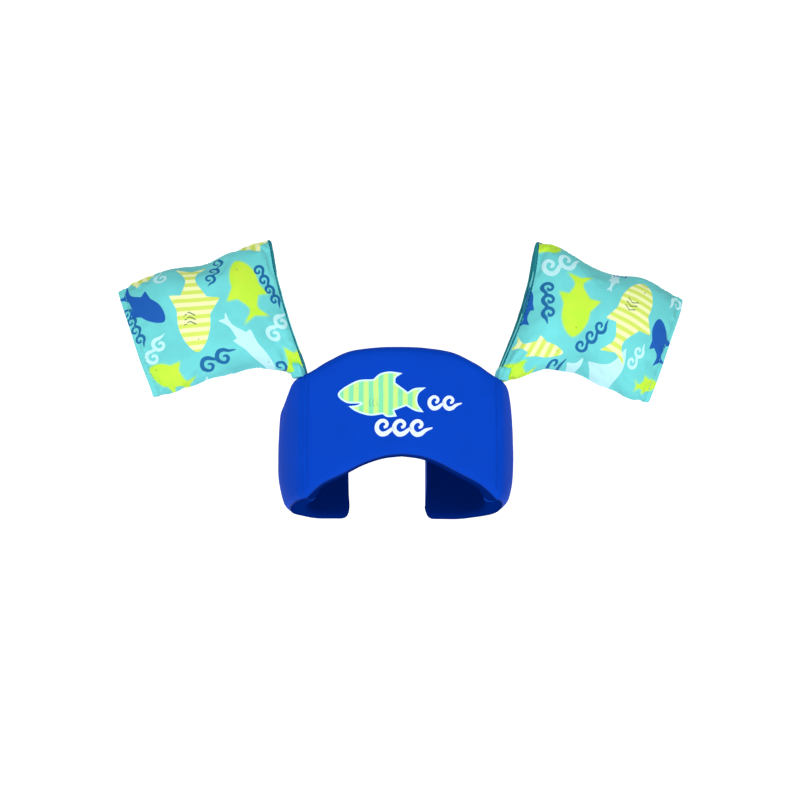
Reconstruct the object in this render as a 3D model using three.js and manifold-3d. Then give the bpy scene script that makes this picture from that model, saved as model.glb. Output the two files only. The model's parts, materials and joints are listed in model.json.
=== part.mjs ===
// Child's swim vest: a foam chest float that wraps round the ribs, closed at the back by a
// side-release buckle, with a foam arm float hung from each of its top corners.
// Millimetres. +X is the viewer's right, the chest faces -Y and +Z is up. The origin is the middle
// of the torso opening, level with the lowest edge of the chest float.
import * as THREE from 'three';
import { mergeVertices } from 'three/addons/utils/BufferGeometryUtils.js';
import Module from 'manifold-3d';

const wasm = await Module();
wasm.setup();

// ---- Driving dimensions ----
const GAP = 0.3; // clear space between sewn layers and between neighbouring pieces
const CLOTH = 1.2; // neoprene-backed cover and lining
const THICK = 26; // chest float through cover, foam and lining

// Chest float, plan view
const FRONT_Y = -90; // foremost line of the chest panel
const BOW_R = 900; // the chest panel's slight bow
const CREASE_X = 105; // sewn fold between chest panel and wing
const CREASE_Y = FRONT_Y + CREASE_X ** 2 / (2 * BOW_R);
const SIDE_Y = -20; // the wings are widest here
const RIB_DEPTH = 107; // half-axis of the wings' curve along Y
const FRONT_AXIS = { centre: 15.3, half: 112.2 }; // from the crease to the widest line
const BACK_AXIS = { centre: 45, half: 82.5 }; // from the widest line to the back end
const WING_END_X = 45.5; // each wing stops this far from the middle of the back
const FOLD = 0.475; // angle of the fold's plane from the Y axis, radians
const FRONT_STEPS = 10;
const WING_STEPS = 14;

// Chest float, heights: [distance from the middle or place along Y, z]
const NECK_LINE = [[0, 175.5], [24, 174.6], [44, 172.5], [58, 169.3], [78, 160.2], [96, 150.2], [116, 140.5]];
const ARCH_LINE = [[0, 57.8], [20, 55.6], [38, 49.5], [62.5, 37.4], [87, 24.5], [104, 10.7], [116, 6]];
const WING_TOP = [[-96, 150.5], [-84, 145.8], [-72, 143], [-62, 134], [-50, 125], [-35, 118], [-15, 113],
  [10, 110.5], [99, 110]];
const WING_FOOT = [[-96, 11.5], [-84, 10.2], [-60, 9], [-30, 6], [-5, 2], [12, 0], [99, 0]];
const END_ROUND = 14; // rounded corners at a wing's end

// Webbing and buckle behind the back
const WEB_WIDE = 25;
const WEB_THICK = 1.8;
const WEB_Z = 92;
const WEB_Y = SIDE_Y + RIB_DEPTH + GAP; // inner face of the webbing
const SEWN_END_X = 100; // the webbing is sewn to the wing from here to the wing's end
const TAIL_END_X = 84;
const BUCKLE_Y = WEB_Y + WEB_THICK / 2;
const BUCKLE_HALF = { length: 29, width: 16.5, thick: 6 };
const WALL = 1.8;
const MOUTH_X = 8; // the socket half ends here
const BAR = 3.4; // webbing bars

// Arm float, in its own frame: u out along the arm, v up, w back; lines are [u, half depth or v]
const ARM_CENTRE = [205, -64, 198];
const ARM_TILT = THREE.MathUtils.degToRad(15.4); // the outer end hangs lower
const ARM_HALF = 80.5; // half length
const ARM_DEPTH = [[-80.5, 15], [-66, 23], [-45, 32], [-15, 36], [20, 36], [48, 32], [68, 24], [80.5, 17]];
const ARM_TOP = [[-80.5, 69], [-39.5, 68.6], [-8.5, 64], [29.5, 68], [80.5, 63]];
const ARM_FOOT = [[-80.5, -69], [-27.5, -55.5], [25.5, -56.5], [80.5, -60]];
const ARM_HOLE = { height: 46, lift: 3 }; // half height of the flattened hole for the arm
const ARM_HOLE_DEPTH = [[-80.5, 8], [-40, 12], [40, 12], [80.5, 9]];
const ARM_POWER = 2.1; // squareness of the section
const ARM_SIDES = 24;
const ARM_STATIONS = 8;
const HEM = 3; // end panels that close the sleeve over the foam

// Web of fabric from the chest float's corner to the arm float
const GUSSET = [[104.6, 148.6], [112.4, 148.4], [115.4, 151.2], [104, 151.4]];
const GUSSET_Y = [-77, -56];

// Raised prints on the chest panel
const PRINT = 0.6;

const COLOURS = {
  royal: 0x0044c8, navy: 0x0a2f9e, foam: 0xf2f2ee, aqua: 0x6fe3e6, lining: 0x10204c,
  mint: 0x9be8a4, white: 0xe4f0ff, web: 0x16181c, plastic: 0x101114,
};

// ---- Solids ----

function solid(geometry) {
  const bare = geometry.index ? geometry.toNonIndexed() : geometry.clone();
  bare.deleteAttribute('normal');
  bare.deleteAttribute('uv');
  const merged = mergeVertices(bare, 1e-4);
  return new wasm.Manifold(new wasm.Mesh({
    numProp: 3,
    vertProperties: new Float32Array(merged.attributes.position.array),
    triVerts: new Uint32Array(merged.index.array),
  }));
}

function geometryOf(body) {
  const mesh = body.getMesh();
  const geometry = new THREE.BufferGeometry();
  geometry.setAttribute('position', new THREE.BufferAttribute(new Float32Array(mesh.vertProperties), 3));
  geometry.setIndex(new THREE.BufferAttribute(new Uint32Array(mesh.triVerts), 1));
  return geometry;
}

function extruded(points, low, high, across, up, along) {
  const shape = new THREE.Shape(points.map(([a, b]) => new THREE.Vector2(a, b)));
  const geometry = new THREE.ExtrudeGeometry(shape, { depth: high - low, bevelEnabled: false, steps: 1 });
  geometry.translate(0, 0, low);
  geometry.applyMatrix4(new THREE.Matrix4().makeBasis(across, up, along));
  return solid(geometry);
}

const X = new THREE.Vector3(1, 0, 0);
const Y = new THREE.Vector3(0, 1, 0);
const Z = new THREE.Vector3(0, 0, 1);

const prismX = (points, low, high) => extruded(points, low, high, Y, Z, X); // points are [y, z]
const prismZ = (points, low, high) => extruded(points, low, high, X, Y, Z); // points are [x, y]
const prismY = (points, low, high) => extruded(points, -high, -low, X, Z, Y.clone().negate()); // [x, z]

const box = (x0, x1, y0, y1, z0, z1) => prismZ([[x0, y0], [x1, y0], [x1, y1], [x0, y1]], z0, z1);

// The left-hand copy of a right-hand solid
function mirrored(geometry) {
  const copy = geometry.clone();
  copy.scale(-1, 1, 1);
  const index = copy.index.array;
  for (let i = 0; i < index.length; i += 3) [index[i], index[i + 1]] = [index[i + 1], index[i]];
  return copy;
}

// Height at a place on a line of [place, height] points
function heightAt(line, place) {
  const after = Math.max(1, line.findIndex(([at]) => at >= place));
  const [a, b] = [line[after - 1], line[after]];
  return THREE.MathUtils.lerp(a[1], b[1], (place - a[0]) / (b[0] - a[0]));
}

// ---- Chest float ----

function frontPoint(x, depth) {
  const inward = new THREE.Vector2(-x / BOW_R, 1).normalize();
  return [x + inward.x * depth, FRONT_Y + x ** 2 / (2 * BOW_R) + inward.y * depth];
}

function wingPoint(angle, depth) {
  const axis = angle < 0 ? FRONT_AXIS : BACK_AXIS;
  const outward = new THREE.Vector2(Math.cos(angle) / axis.half, Math.sin(angle) / RIB_DEPTH).normalize();
  const x = axis.centre + axis.half * Math.cos(angle) - outward.x * depth;
  return [x, SIDE_Y + RIB_DEPTH * Math.sin(angle) - outward.y * depth];
}

const WING_START = Math.asin((CREASE_Y - SIDE_Y) / RIB_DEPTH);

// A layer of the chest panel or of the right wing, between two depths below the outer face
function strip(pointAt, from, to, steps, outer, inner) {
  const places = Array.from({ length: steps + 1 }, (_, i) => from + ((to - from) * i) / steps);
  const near = places.map((p) => pointAt(p, outer));
  const far = places.map((p) => pointAt(p, inner)).reverse();
  return prismZ([...near, ...far], -20, 200);
}

// Everything on the wing's side (+1) or the chest panel's side (-1) of the right-hand fold
function foldSide(side) {
  const along = [-Math.sin(FOLD), Math.cos(FOLD)];
  const away = [Math.cos(FOLD) * side, Math.sin(FOLD) * side];
  const at = (a, b) => [CREASE_X + along[0] * a + away[0] * b, CREASE_Y + along[1] * a + away[1] * b];
  const corners = [at(-60, GAP / 2), at(-60, 400), at(200, 400), at(200, GAP / 2)];
  return prismZ(side > 0 ? corners : corners.reverse(), -30, 210);
}

// The chest panel's outline seen from the front, drawn in by a margin
function panelOutline(margin) {
  const upper = NECK_LINE.map(([x, z]) => [x, z - margin]);
  const lower = ARCH_LINE.map(([x, z]) => [x, z + margin]);
  const mirror = (points) => points.slice(1).map(([x, z]) => [-x, z]);
  return [...lower, ...upper.slice().reverse(), ...mirror(upper), ...mirror(lower).reverse()];
}

function panelLayer(outer, inner, margin) {
  const layer = strip(frontPoint, -CREASE_X, CREASE_X, FRONT_STEPS, outer, inner);
  const right = foldSide(-1);
  const left = solid(mirrored(geometryOf(right)));
  return layer.intersect(prismY(panelOutline(margin), -120, 0)).intersect(right).intersect(left);
}

// The wing seen from the side, and its rounded end seen from behind
function wingLayer(outer, inner, margin) {
  const layer = strip(wingPoint, WING_START, Math.PI / 2, WING_STEPS, outer, inner);
  const side = [
    ...WING_FOOT.map(([y, z]) => [y, z + margin]),
    ...WING_TOP.map(([y, z]) => [y, z - margin]).reverse(),
  ];
  const [edge, low, high] = [WING_END_X + margin, margin, WING_TOP.at(-1)[1] - margin];
  const round = (cx, cz, from) => [0, 1, 2, 3, 4].map((i) => {
    const a = from + (i * Math.PI) / 8;
    return [cx + END_ROUND * Math.cos(a), cz + END_ROUND * Math.sin(a)];
  });
  const back = [
    [140, -10], [WING_END_X + 2 * END_ROUND, low - GAP],
    ...round(edge + END_ROUND, low + END_ROUND, Math.PI).reverse(),
    ...round(edge + END_ROUND, high - END_ROUND, Math.PI / 2).reverse(),
    [WING_END_X + 2 * END_ROUND, high + GAP], [84, 160], [140, 160],
  ];
  return layer.intersect(prismX(side, 0, 200)).intersect(prismY(orderedOutline(back), -120, 120))
    .intersect(foldSide(1));
}

// Bottom edge, round up the end, top edge: one loop in order
function orderedOutline(points) {
  const middle = [110, 60];
  return points.slice().sort((a, b) => Math.atan2(a[1] - middle[1], a[0] - middle[0])
    - Math.atan2(b[1] - middle[1], b[0] - middle[0]));
}

// A cover is a tray: the outer face with its top and bottom returns, open on the lining's side
function sewnLayers(layerOf) {
  const pocket = layerOf(CLOTH, THICK + 10, CLOTH);
  return {
    cover: layerOf(0, THICK - CLOTH - GAP, 0).subtract(pocket),
    foam: layerOf(CLOTH + GAP, THICK - CLOTH - GAP, CLOTH + GAP),
    lining: layerOf(THICK - CLOTH, THICK, 0),
  };
}

// ---- Prints on the chest panel ----

function fishOutline() {
  const fish = new THREE.Shape();
  fish.moveTo(-69, 123);
  fish.quadraticCurveTo(-52, 137, -24, 137);
  fish.quadraticCurveTo(-14, 146, 0, 145.5);
  fish.quadraticCurveTo(-6, 139, -4, 133.5);
  fish.quadraticCurveTo(6, 130, 11, 127);
  fish.quadraticCurveTo(16, 131, 23, 131.5);
  fish.quadraticCurveTo(15, 122, 21, 104.5);
  fish.quadraticCurveTo(12, 109, 8, 115);
  fish.quadraticCurveTo(0, 109, -8, 106.5);
  fish.lineTo(-7, 97.5);
  fish.quadraticCurveTo(-17, 100, -24, 106);
  fish.quadraticCurveTo(-40, 105, -55, 112);
  fish.quadraticCurveTo(-66, 116, -69, 123);
  return outlinePoints(fish.getPoints(3));
}

const outlinePoints = (points) => points.slice(0, -1).map((p) => [p.x, p.y]).reverse();

// A run of curling waves joined along their feet, the crests bending to the left
function waveOutline(left, right, foot, crest, count) {
  const pitch = (right - left) / count;
  const height = crest - foot;
  const wave = new THREE.Shape();
  wave.moveTo(left, foot);
  wave.lineTo(right, foot);
  wave.lineTo(right, foot + height * 0.25);
  for (let i = count - 1; i >= 0; i -= 1) {
    const x = left + pitch * i;
    wave.quadraticCurveTo(x + pitch * 0.85, foot + height, x + pitch * 0.45, crest);
    wave.quadraticCurveTo(x + pitch * 0.16, foot + height * 0.98, x + pitch * 0.1, foot + height * 0.62);
    wave.quadraticCurveTo(x + pitch * 0.3, foot + height * 0.8, x + pitch * 0.48, foot + height * 0.55);
    wave.quadraticCurveTo(x + pitch * 0.4, foot + height * 0.25, x, foot + height * 0.25);
  }
  return outlinePoints([...wave.getPoints(3), wave.getPoints(3)[0]]);
}

function printSolid(outline) {
  const film = strip(frontPoint, -CREASE_X, CREASE_X, FRONT_STEPS, -GAP - PRINT, -GAP);
  return film.intersect(prismY(outline, -120, 0));
}

// ---- Webbing and buckle ----

const WEB_Z0 = WEB_Z - WEB_WIDE / 2;
const WEB_Z1 = WEB_Z + WEB_WIDE / 2;

// Webbing sewn to the right wing's outer face
function sewnWebbing(raised, thick, fromX) {
  const steps = 6;
  const start = Math.acos((fromX - BACK_AXIS.centre) / BACK_AXIS.half);
  const band = strip(wingPoint, start, Math.PI / 2, steps, -raised - thick, -raised);
  return band.intersect(box(WING_END_X + GAP, 200, -200, 200, WEB_Z0, WEB_Z1));
}

// Free webbing from a wing's end, once round the bar and back on itself
function loopWebbing() {
  const bar = BUCKLE_HALF.length;
  const [inner, outer] = [WEB_Y, WEB_Y + WEB_THICK];
  const wrap = bar - BAR - GAP - WEB_THICK;
  const lift = BUCKLE_Y + BAR / 2 + GAP + WEB_THICK;
  const drop = BUCKLE_Y - BAR / 2 - GAP - WEB_THICK;
  return prismZ([
    [WING_END_X - GAP, inner], [WING_END_X - GAP, outer], [bar + 4.5, outer], [bar + 2, lift],
    [wrap, lift], [wrap, drop], [bar + 2, drop], [bar + 4.5, inner],
  ], WEB_Z0, WEB_Z1).subtract(box(
    wrap + WEB_THICK, bar + GAP * 2, BUCKLE_Y - BAR / 2 - GAP, BUCKLE_Y + BAR / 2 + GAP, 0, 200,
  ));
}

// The loose end that comes back over the outside after the adjusting bar, and lies along the wing
function tailWebbing() {
  const near = BUCKLE_HALF.length + 4.5;
  const off = -WEB_THICK - 4 * GAP;
  const start = Math.acos((TAIL_END_X - BACK_AXIS.centre) / BACK_AXIS.half);
  const along = [1, 0.75, 0.5, 0.25, 0].map((k) => start + (Math.PI / 2 - start) * k);
  const side = (lift) => [
    [near, WEB_Y + 2 * WEB_THICK + 2 * GAP + lift],
    ...along.map((angle) => wingPoint(angle, off - lift)),
  ];
  return prismZ([...side(0), ...side(WEB_THICK).reverse()], WEB_Z0, WEB_Z1);
}

// Elastic loop round both layers of the adjustable webbing
function keeperLoop() {
  const [x0, x1] = [WING_END_X - 10.2, WING_END_X - 5.2];
  const [y0, y1] = [WEB_Y - GAP, WEB_Y + WEB_THICK * 3 + GAP * 3];
  const outer = box(x0, x1, y0 - 1.2, y1 + 1.2, WEB_Z0 - 1.6, WEB_Z1 + 1.6);
  return outer.subtract(box(x0 - 1, x1 + 1, y0, y1, WEB_Z0 - GAP, WEB_Z1 + GAP));
}

// A rounded slab seen from behind, thinned towards its ends
function buckleBlank(x0, x1, halfWidth, halfThick, round) {
  const plan = [[x0, -halfWidth + round], [x0 + round, -halfWidth], [x1, -halfWidth], [x1, halfWidth],
    [x0 + round, halfWidth], [x0, halfWidth - round]].map(([x, z]) => [x, z + WEB_Z]);
  const taper = Math.abs(x1 - x0) * 0.3;
  const edge = [[x0, -halfThick * 0.45], [x0 + taper, -halfThick], [x1, -halfThick], [x1, halfThick],
    [x0 + taper, halfThick], [x0, halfThick * 0.45]].map(([x, y]) => [x, y + BUCKLE_Y]);
  return prismY(plan, BUCKLE_Y - 20, BUCKLE_Y + 20).intersect(prismZ(edge, 0, 200));
}

// Cuts the window for the webbing out of a blank's end and leaves one round-cornered bar across it
function withBar(blank, end, side) {
  const window = WEB_WIDE / 2 + 0.8;
  const inner = end - side * (BAR + 5);
  const [x0, x1] = [Math.min(end + side, inner), Math.max(end + side, inner)];
  const through = [BUCKLE_Y - 20, BUCKLE_Y + 20];
  const opening = box(x0, x1, ...through, WEB_Z - window, WEB_Z + window);
  const [a, b] = [Math.min(end, end - side * BAR), Math.max(end, end - side * BAR)];
  const bar = prismZ([
    [a, BUCKLE_Y - BAR / 4], [a + BAR / 4, BUCKLE_Y - BAR / 2], [b - BAR / 4, BUCKLE_Y - BAR / 2],
    [b, BUCKLE_Y - BAR / 4], [b, BUCKLE_Y + BAR / 4], [b - BAR / 4, BUCKLE_Y + BAR / 2],
    [a + BAR / 4, BUCKLE_Y + BAR / 2], [a, BUCKLE_Y + BAR / 4],
  ], WEB_Z - window - 1, WEB_Z + window + 1);
  return blank.subtract(opening).add(bar);
}

// Socket half: hollow from its mouth, a window each side for the prongs, a bar for the webbing
function buckleSocket() {
  const { length, width, thick } = BUCKLE_HALF;
  const hollow = box(-16, MOUTH_X + 5, BUCKLE_Y - thick + WALL, BUCKLE_Y + thick - WALL,
    WEB_Z - width + WALL + 0.4, WEB_Z + width - WALL - 0.4);
  const windows = box(-13, -1.5, BUCKLE_Y - thick + WALL, BUCKLE_Y + thick - WALL, 0, 200);
  const shell = buckleBlank(-length, MOUTH_X, width, thick, 5).subtract(hollow).subtract(windows);
  return withBar(shell, -length, -1);
}

// Tongue half: two adjusting bars and a guide that runs into the socket
function bucklePlug() {
  const { length, width, thick } = BUCKLE_HALF;
  const blank = solid(mirrored(geometryOf(buckleBlank(-length, -MOUTH_X - GAP, width, thick - 0.8, 5))));
  const guide = box(-9, MOUTH_X + 6, BUCKLE_Y - 2.6, BUCKLE_Y + 2.6, WEB_Z - 2.2, WEB_Z + 2.2);
  const roots = box(MOUTH_X - 1, MOUTH_X + 2.6, BUCKLE_Y - 4, BUCKLE_Y + 4, WEB_Z - 13, WEB_Z + 13);
  return withBar(blank.subtract(roots).add(guide), length, 1);
}

// One springy prong with a barb that stands in the socket's window
function buckleProng(up) {
  const outline = [[MOUTH_X + 1.9, 8], [MOUTH_X + 1.9, 11.6], [MOUTH_X - 1, 12.4], [-3.2, 12.6], [-3.2, 16.2],
    [-7, 17], [-12, 12.4], [-12.6, 9], [-8, 8.4]].map(([x, z]) => [x, WEB_Z + z * up]);
  return prismY(up > 0 ? outline.reverse() : outline, BUCKLE_Y - 3.4, BUCKLE_Y + 3.4);
}

// ---- Arm float ----

// One ring of the sleeve's section; grow is measured outwards from the surface
function sleeveRing(u, grow, around, isHole) {
  const top = heightAt(ARM_TOP, u);
  const foot = heightAt(ARM_FOOT, u);
  const half = isHole ? ARM_HOLE.height + grow : (top - foot) / 2 + grow;
  const middle = isHole ? ARM_HOLE.lift : (top + foot) / 2;
  const depth = heightAt(isHole ? ARM_HOLE_DEPTH : ARM_DEPTH, u) + grow;
  const power = 2 / (isHole ? 2 : ARM_POWER);
  return around.map((a) => {
    const [c, s] = [Math.cos(a), Math.sin(a)];
    return [u, Math.sign(c) * Math.abs(c) ** power * depth, middle + Math.sign(s) * Math.abs(s) ** power * half];
  });
}

// A closed sleeve: rings out along one surface and back along the other
function sleeveTube(stations, outer, inner) {
  const around = Array.from({ length: ARM_SIDES }, (_, i) => (2 * Math.PI * i) / ARM_SIDES);
  const rings = [
    ...stations.map((u) => sleeveRing(u, outer.grow, around, outer.hole)),
    ...stations.slice().reverse().map((u) => sleeveRing(u, inner.grow, around, inner.hole)),
  ];
  const positions = rings.flat(2);
  const index = [];
  rings.forEach((ring, r) => {
    const following = (r + 1) % rings.length;
    const next = following * ARM_SIDES;
    const outward = rings[following][0][0] > ring[0][0]; // both surfaces are split along one diagonal
    for (let i = 0; i < ARM_SIDES; i += 1) {
      const j = (i + 1) % ARM_SIDES;
      const [a, b, c, d] = [r * ARM_SIDES + i, r * ARM_SIDES + j, next + i, next + j];
      index.push(...(outward ? [a, b, c, b, d, c] : [a, b, d, a, d, c]));
    }
  });
  const geometry = new THREE.BufferGeometry();
  geometry.setAttribute('position', new THREE.Float32BufferAttribute(positions, 3));
  geometry.setIndex(index);
  return geometry;
}

function sleeveStations(from, to, steps) {
  return Array.from({ length: steps + 1 }, (_, i) => from + ((to - from) * i) / steps);
}

function armPieces() {
  const [near, far] = [-ARM_HALF, ARM_HALF];
  const inside = sleeveStations(near + HEM + GAP, far - HEM - GAP, ARM_STATIONS);
  const skin = (grow) => ({ grow, hole: false });
  const bore = (grow) => ({ grow, hole: true });
  const foam = solid(sleeveTube(inside, skin(-CLOTH - GAP), bore(CLOTH + GAP)));
  const half = (side) => foam.intersect(prismX(
    side < 0 ? [[-90, -90], [-GAP, -90], [-GAP, 90], [-90, 90]] : [[GAP, -90], [90, -90], [90, 90], [GAP, 90]],
    -90, 90,
  ));
  return {
    cover: sleeveTube(inside, skin(0), skin(-CLOTH)),
    lining: sleeveTube(inside, bore(CLOTH), bore(0)),
    foam_front: geometryOf(half(-1)),
    foam_back: geometryOf(half(1)),
    shoulder_hem: sleeveTube([near, near + HEM], skin(0), bore(0)),
    elbow_hem: sleeveTube([far - HEM, far], skin(0), bore(0)),
  };
}

// ---- Assembly ----

function material(colour, roughness, name) {
  return new THREE.MeshStandardMaterial({ color: COLOURS[colour], roughness, metalness: 0, name });
}

const FINISH = {
  royal: material('royal', 0.75, 'royal knit'),
  navy: material('navy', 0.75, 'navy knit'),
  foam: material('foam', 0.6, 'closed-cell foam'),
  aqua: material('aqua', 0.7, 'printed knit'),
  lining: material('lining', 0.8, 'lining'),
  mint: material('mint', 0.5, 'fish print'),
  white: material('white', 0.5, 'wave print'),
  web: material('web', 0.8, 'webbing'),
  plastic: material('plastic', 0.35, 'acetal'),
};

function piece(name, geometry, finish) {
  geometry.computeVertexNormals();
  const mesh = new THREE.Mesh(geometry, FINISH[finish]);
  mesh.name = name;
  return mesh;
}

function chestPanel() {
  const group = new THREE.Group();
  const layers = sewnLayers(panelLayer);
  group.add(piece('chest_cover', geometryOf(layers.cover), 'royal'));
  group.add(piece('chest_foam', geometryOf(layers.foam), 'foam'));
  group.add(piece('chest_lining', geometryOf(layers.lining), 'lining'));
  group.add(piece('fish_print', geometryOf(printSolid(fishOutline())), 'mint'));
  group.add(piece('wave_print_low', geometryOf(printSolid(waveOutline(-31, 30, 79, 97, 3))), 'white'));
  group.add(piece('wave_print_side', geometryOf(printSolid(waveOutline(25, 62, 107, 121, 2))), 'white'));
  return group;
}

// The right-hand geometry, or its mirror image on the left
function sided(side, geometry) {
  return side > 0 ? geometry : mirrored(geometry);
}

function wing(side, name) {
  const group = new THREE.Group();
  const layers = sewnLayers(wingLayer);
  group.add(piece(`${name}_wing_cover`, sided(side, geometryOf(layers.cover)), 'navy'));
  group.add(piece(`${name}_wing_foam`, sided(side, geometryOf(layers.foam)), 'foam'));
  group.add(piece(`${name}_wing_lining`, sided(side, geometryOf(layers.lining)), 'lining'));
  group.add(piece(`${name}_sewn_webbing`, sided(side, geometryOf(sewnWebbing(GAP, WEB_THICK, SEWN_END_X))), 'web'));
  group.add(piece(`${name}_strap_loop`, sided(side, geometryOf(loopWebbing())), 'web'));
  return group;
}

function backClosure() {
  const group = new THREE.Group();
  group.add(piece('buckle_socket', geometryOf(buckleSocket()), 'plastic'));
  group.add(piece('buckle_plug', geometryOf(bucklePlug()), 'plastic'));
  group.add(piece('buckle_prong_upper', geometryOf(buckleProng(1)), 'plastic'));
  group.add(piece('buckle_prong_lower', geometryOf(buckleProng(-1)), 'plastic'));
  group.add(piece('strap_tail', geometryOf(tailWebbing()), 'web'));
  group.add(piece('strap_keeper', geometryOf(keeperLoop()), 'web'));
  return group;
}

function armFloat(side, name) {
  const group = new THREE.Group();
  const pieces = armPieces();
  const finish = { cover: 'aqua', lining: 'lining', foam_front: 'foam', foam_back: 'foam',
    shoulder_hem: 'aqua', elbow_hem: 'aqua' };
  for (const [part, geometry] of Object.entries(pieces)) {
    group.add(piece(`${name}_arm_${part}`, sided(side, geometry), finish[part]));
  }
  group.position.set(ARM_CENTRE[0] * side, ARM_CENTRE[1], ARM_CENTRE[2]);
  group.rotation.y = ARM_TILT * side;
  return group;
}

function gusset(side, name) {
  return piece(`${name}_gusset`, sided(side, geometryOf(prismY(GUSSET, ...GUSSET_Y))), 'navy');
}

const vest = new THREE.Group();
vest.add(chestPanel(), backClosure());
for (const [side, name] of [[-1, 'left'], [1, 'right']]) {
  vest.add(wing(side, name), armFloat(side, name), gusset(side, name));
}

export default vest;
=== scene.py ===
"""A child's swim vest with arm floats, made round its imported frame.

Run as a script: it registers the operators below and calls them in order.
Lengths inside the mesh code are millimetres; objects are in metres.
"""
import json
import math

import bmesh
import bpy
import numpy as np
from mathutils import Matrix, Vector
from mathutils.geometry import delaunay_2d_cdt

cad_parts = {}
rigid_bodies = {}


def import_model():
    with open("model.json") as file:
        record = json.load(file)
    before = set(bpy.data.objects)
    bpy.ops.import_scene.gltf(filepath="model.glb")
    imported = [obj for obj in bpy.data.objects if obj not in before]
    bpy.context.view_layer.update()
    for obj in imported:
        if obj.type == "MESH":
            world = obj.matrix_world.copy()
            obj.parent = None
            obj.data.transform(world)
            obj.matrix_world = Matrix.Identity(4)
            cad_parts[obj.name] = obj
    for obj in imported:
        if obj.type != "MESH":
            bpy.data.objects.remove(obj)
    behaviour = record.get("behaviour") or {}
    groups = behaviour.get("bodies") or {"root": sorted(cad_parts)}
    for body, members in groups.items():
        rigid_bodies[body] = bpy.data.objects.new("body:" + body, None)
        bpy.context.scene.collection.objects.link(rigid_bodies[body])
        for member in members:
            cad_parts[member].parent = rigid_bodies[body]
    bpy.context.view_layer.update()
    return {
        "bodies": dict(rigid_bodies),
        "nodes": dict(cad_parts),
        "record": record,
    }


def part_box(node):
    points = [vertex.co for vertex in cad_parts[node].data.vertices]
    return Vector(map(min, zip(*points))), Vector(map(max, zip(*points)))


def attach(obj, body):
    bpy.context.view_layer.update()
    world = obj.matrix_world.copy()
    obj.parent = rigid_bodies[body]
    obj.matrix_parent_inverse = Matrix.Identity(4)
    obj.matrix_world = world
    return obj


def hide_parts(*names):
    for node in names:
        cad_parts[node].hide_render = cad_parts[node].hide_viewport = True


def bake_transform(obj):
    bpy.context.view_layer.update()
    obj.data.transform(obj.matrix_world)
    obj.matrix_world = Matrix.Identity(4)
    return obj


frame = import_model()

bl_info = {
    "name": "Swim Vest with Arm Floats",
    "version": (1, 0, 0),
    "blender": (4, 5, 0),
    "location": "3D View > Sidebar > Swim Vest",
    "description": "Builds a child's foam swim vest, its arm floats and its back buckle",
    "category": "Add Mesh",
}

MM = 0.001
SIDES = {"left": -1, "right": 1}


# ---- Places taken from the frame, in millimetres ----


def pivot(joint):
    """Where a joint turns at rest."""
    return next(Vector(j["pos_m"]) / MM for j in frame["record"]["behaviour"]["joints"] if j["name"] == joint)


def node_box(node):
    """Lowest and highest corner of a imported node."""
    low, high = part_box(node)
    return low / MM, high / MM


WING_LOW, WING_HIGH = node_box("right_wing_cover")
WEB_LOW, WEB_HIGH = node_box("right_sewn_webbing")
SOCKET_LOW, SOCKET_HIGH = node_box("buckle_socket")
PLUG_HIGH = node_box("buckle_plug")[1]

# Chest float, plan view: a bowed front panel, then a wing that follows two quarter ellipses
CREASE = pivot("right_wing_open")
FRONT_Y = node_box("chest_cover")[0].y
BOW_R = CREASE.x**2 / (2 * (CREASE.y - FRONT_Y))
SIDE_Y = -20.0
RIB_DEPTH = WING_HIGH.y - SIDE_Y
FRONT_AXIS = (15.3, WING_HIGH.x - 15.3)
BACK_AXIS = (45.0, WING_HIGH.x - 45.0)
WING_END_X = WING_LOW.x
FOLD = 0.475  # the fold's plane leans this far from the Y axis, in radians
THICK = 26.0
NECK_LINE = [(0, 175.5), (24, 174.6), (44, 172.5), (58, 169.3), (78, 160.2), (96, 150.2), (105, 145.8)]
ARCH_LINE = [(0, 57.8), (20, 55.6), (38, 49.5), (62.5, 37.4), (87, 24.5), (105, 10.4)]
WING_TOP = [
    (0, 145.8), (14, 143.8), (24, 141), (34, 132), (44, 124), (58, 118), (80, 113), (110, 110.5), (300, 110),
]
WING_FOOT = [(0, 10.4), (26, 8.5), (60, 5), (85, 1.5), (105, 0), (300, 0)]

# Arm float, in its own frame: u out along the arm, v up, w back
ARM_LOW, ARM_HIGH = node_box("right_arm_cover")
ARM_CENTRE = (205.0, (ARM_LOW.y + ARM_HIGH.y) / 2, 198.0)
ARM_TILT = math.radians(15.4)
ARM_HALF = 80.5
ARM_TOP = [(-80.5, 69), (-62, 69.5), (-39.5, 68.6), (-8.5, 64), (12, 65), (29.5, 67.5), (60, 66), (80.5, 62)]
ARM_FOOT = [(-80.5, -69), (-55, -60), (-27.5, -55.5), (0, -55.5), (25.5, -57.5), (55, -60.5), (80.5, -59)]
ARM_DEPTH = [(-80.5, 14), (-66, 22), (-45, 31), (-15, 35), (20, 35), (48, 31), (68, 23), (80.5, 15.5)]
HOLE_DEPTH = [(-80.5, 8), (-40, 11), (40, 11), (80.5, 8.5)]
HOLE_HALF = 46.0
HOLE_LIFT = 3.0


# ---- Curves ----


def line_at(line, places):
    """Smooth heights along a line of (place, height) points."""
    at = np.array([p[0] for p in line], float)
    height = np.array([p[1] for p in line], float)
    slope = np.gradient(height, at)
    places = np.clip(np.asarray(places, float), at[0], at[-1])
    i = np.clip(np.searchsorted(at, places) - 1, 0, len(at) - 2)
    span = at[i + 1] - at[i]
    t = (places - at[i]) / span
    return (
        (2 * t**3 - 3 * t**2 + 1) * height[i]
        + (t**3 - 2 * t**2 + t) * span * slope[i]
        + (3 * t**2 - 2 * t**3) * height[i + 1]
        + (t**3 - t**2) * span * slope[i + 1]
    )


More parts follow.
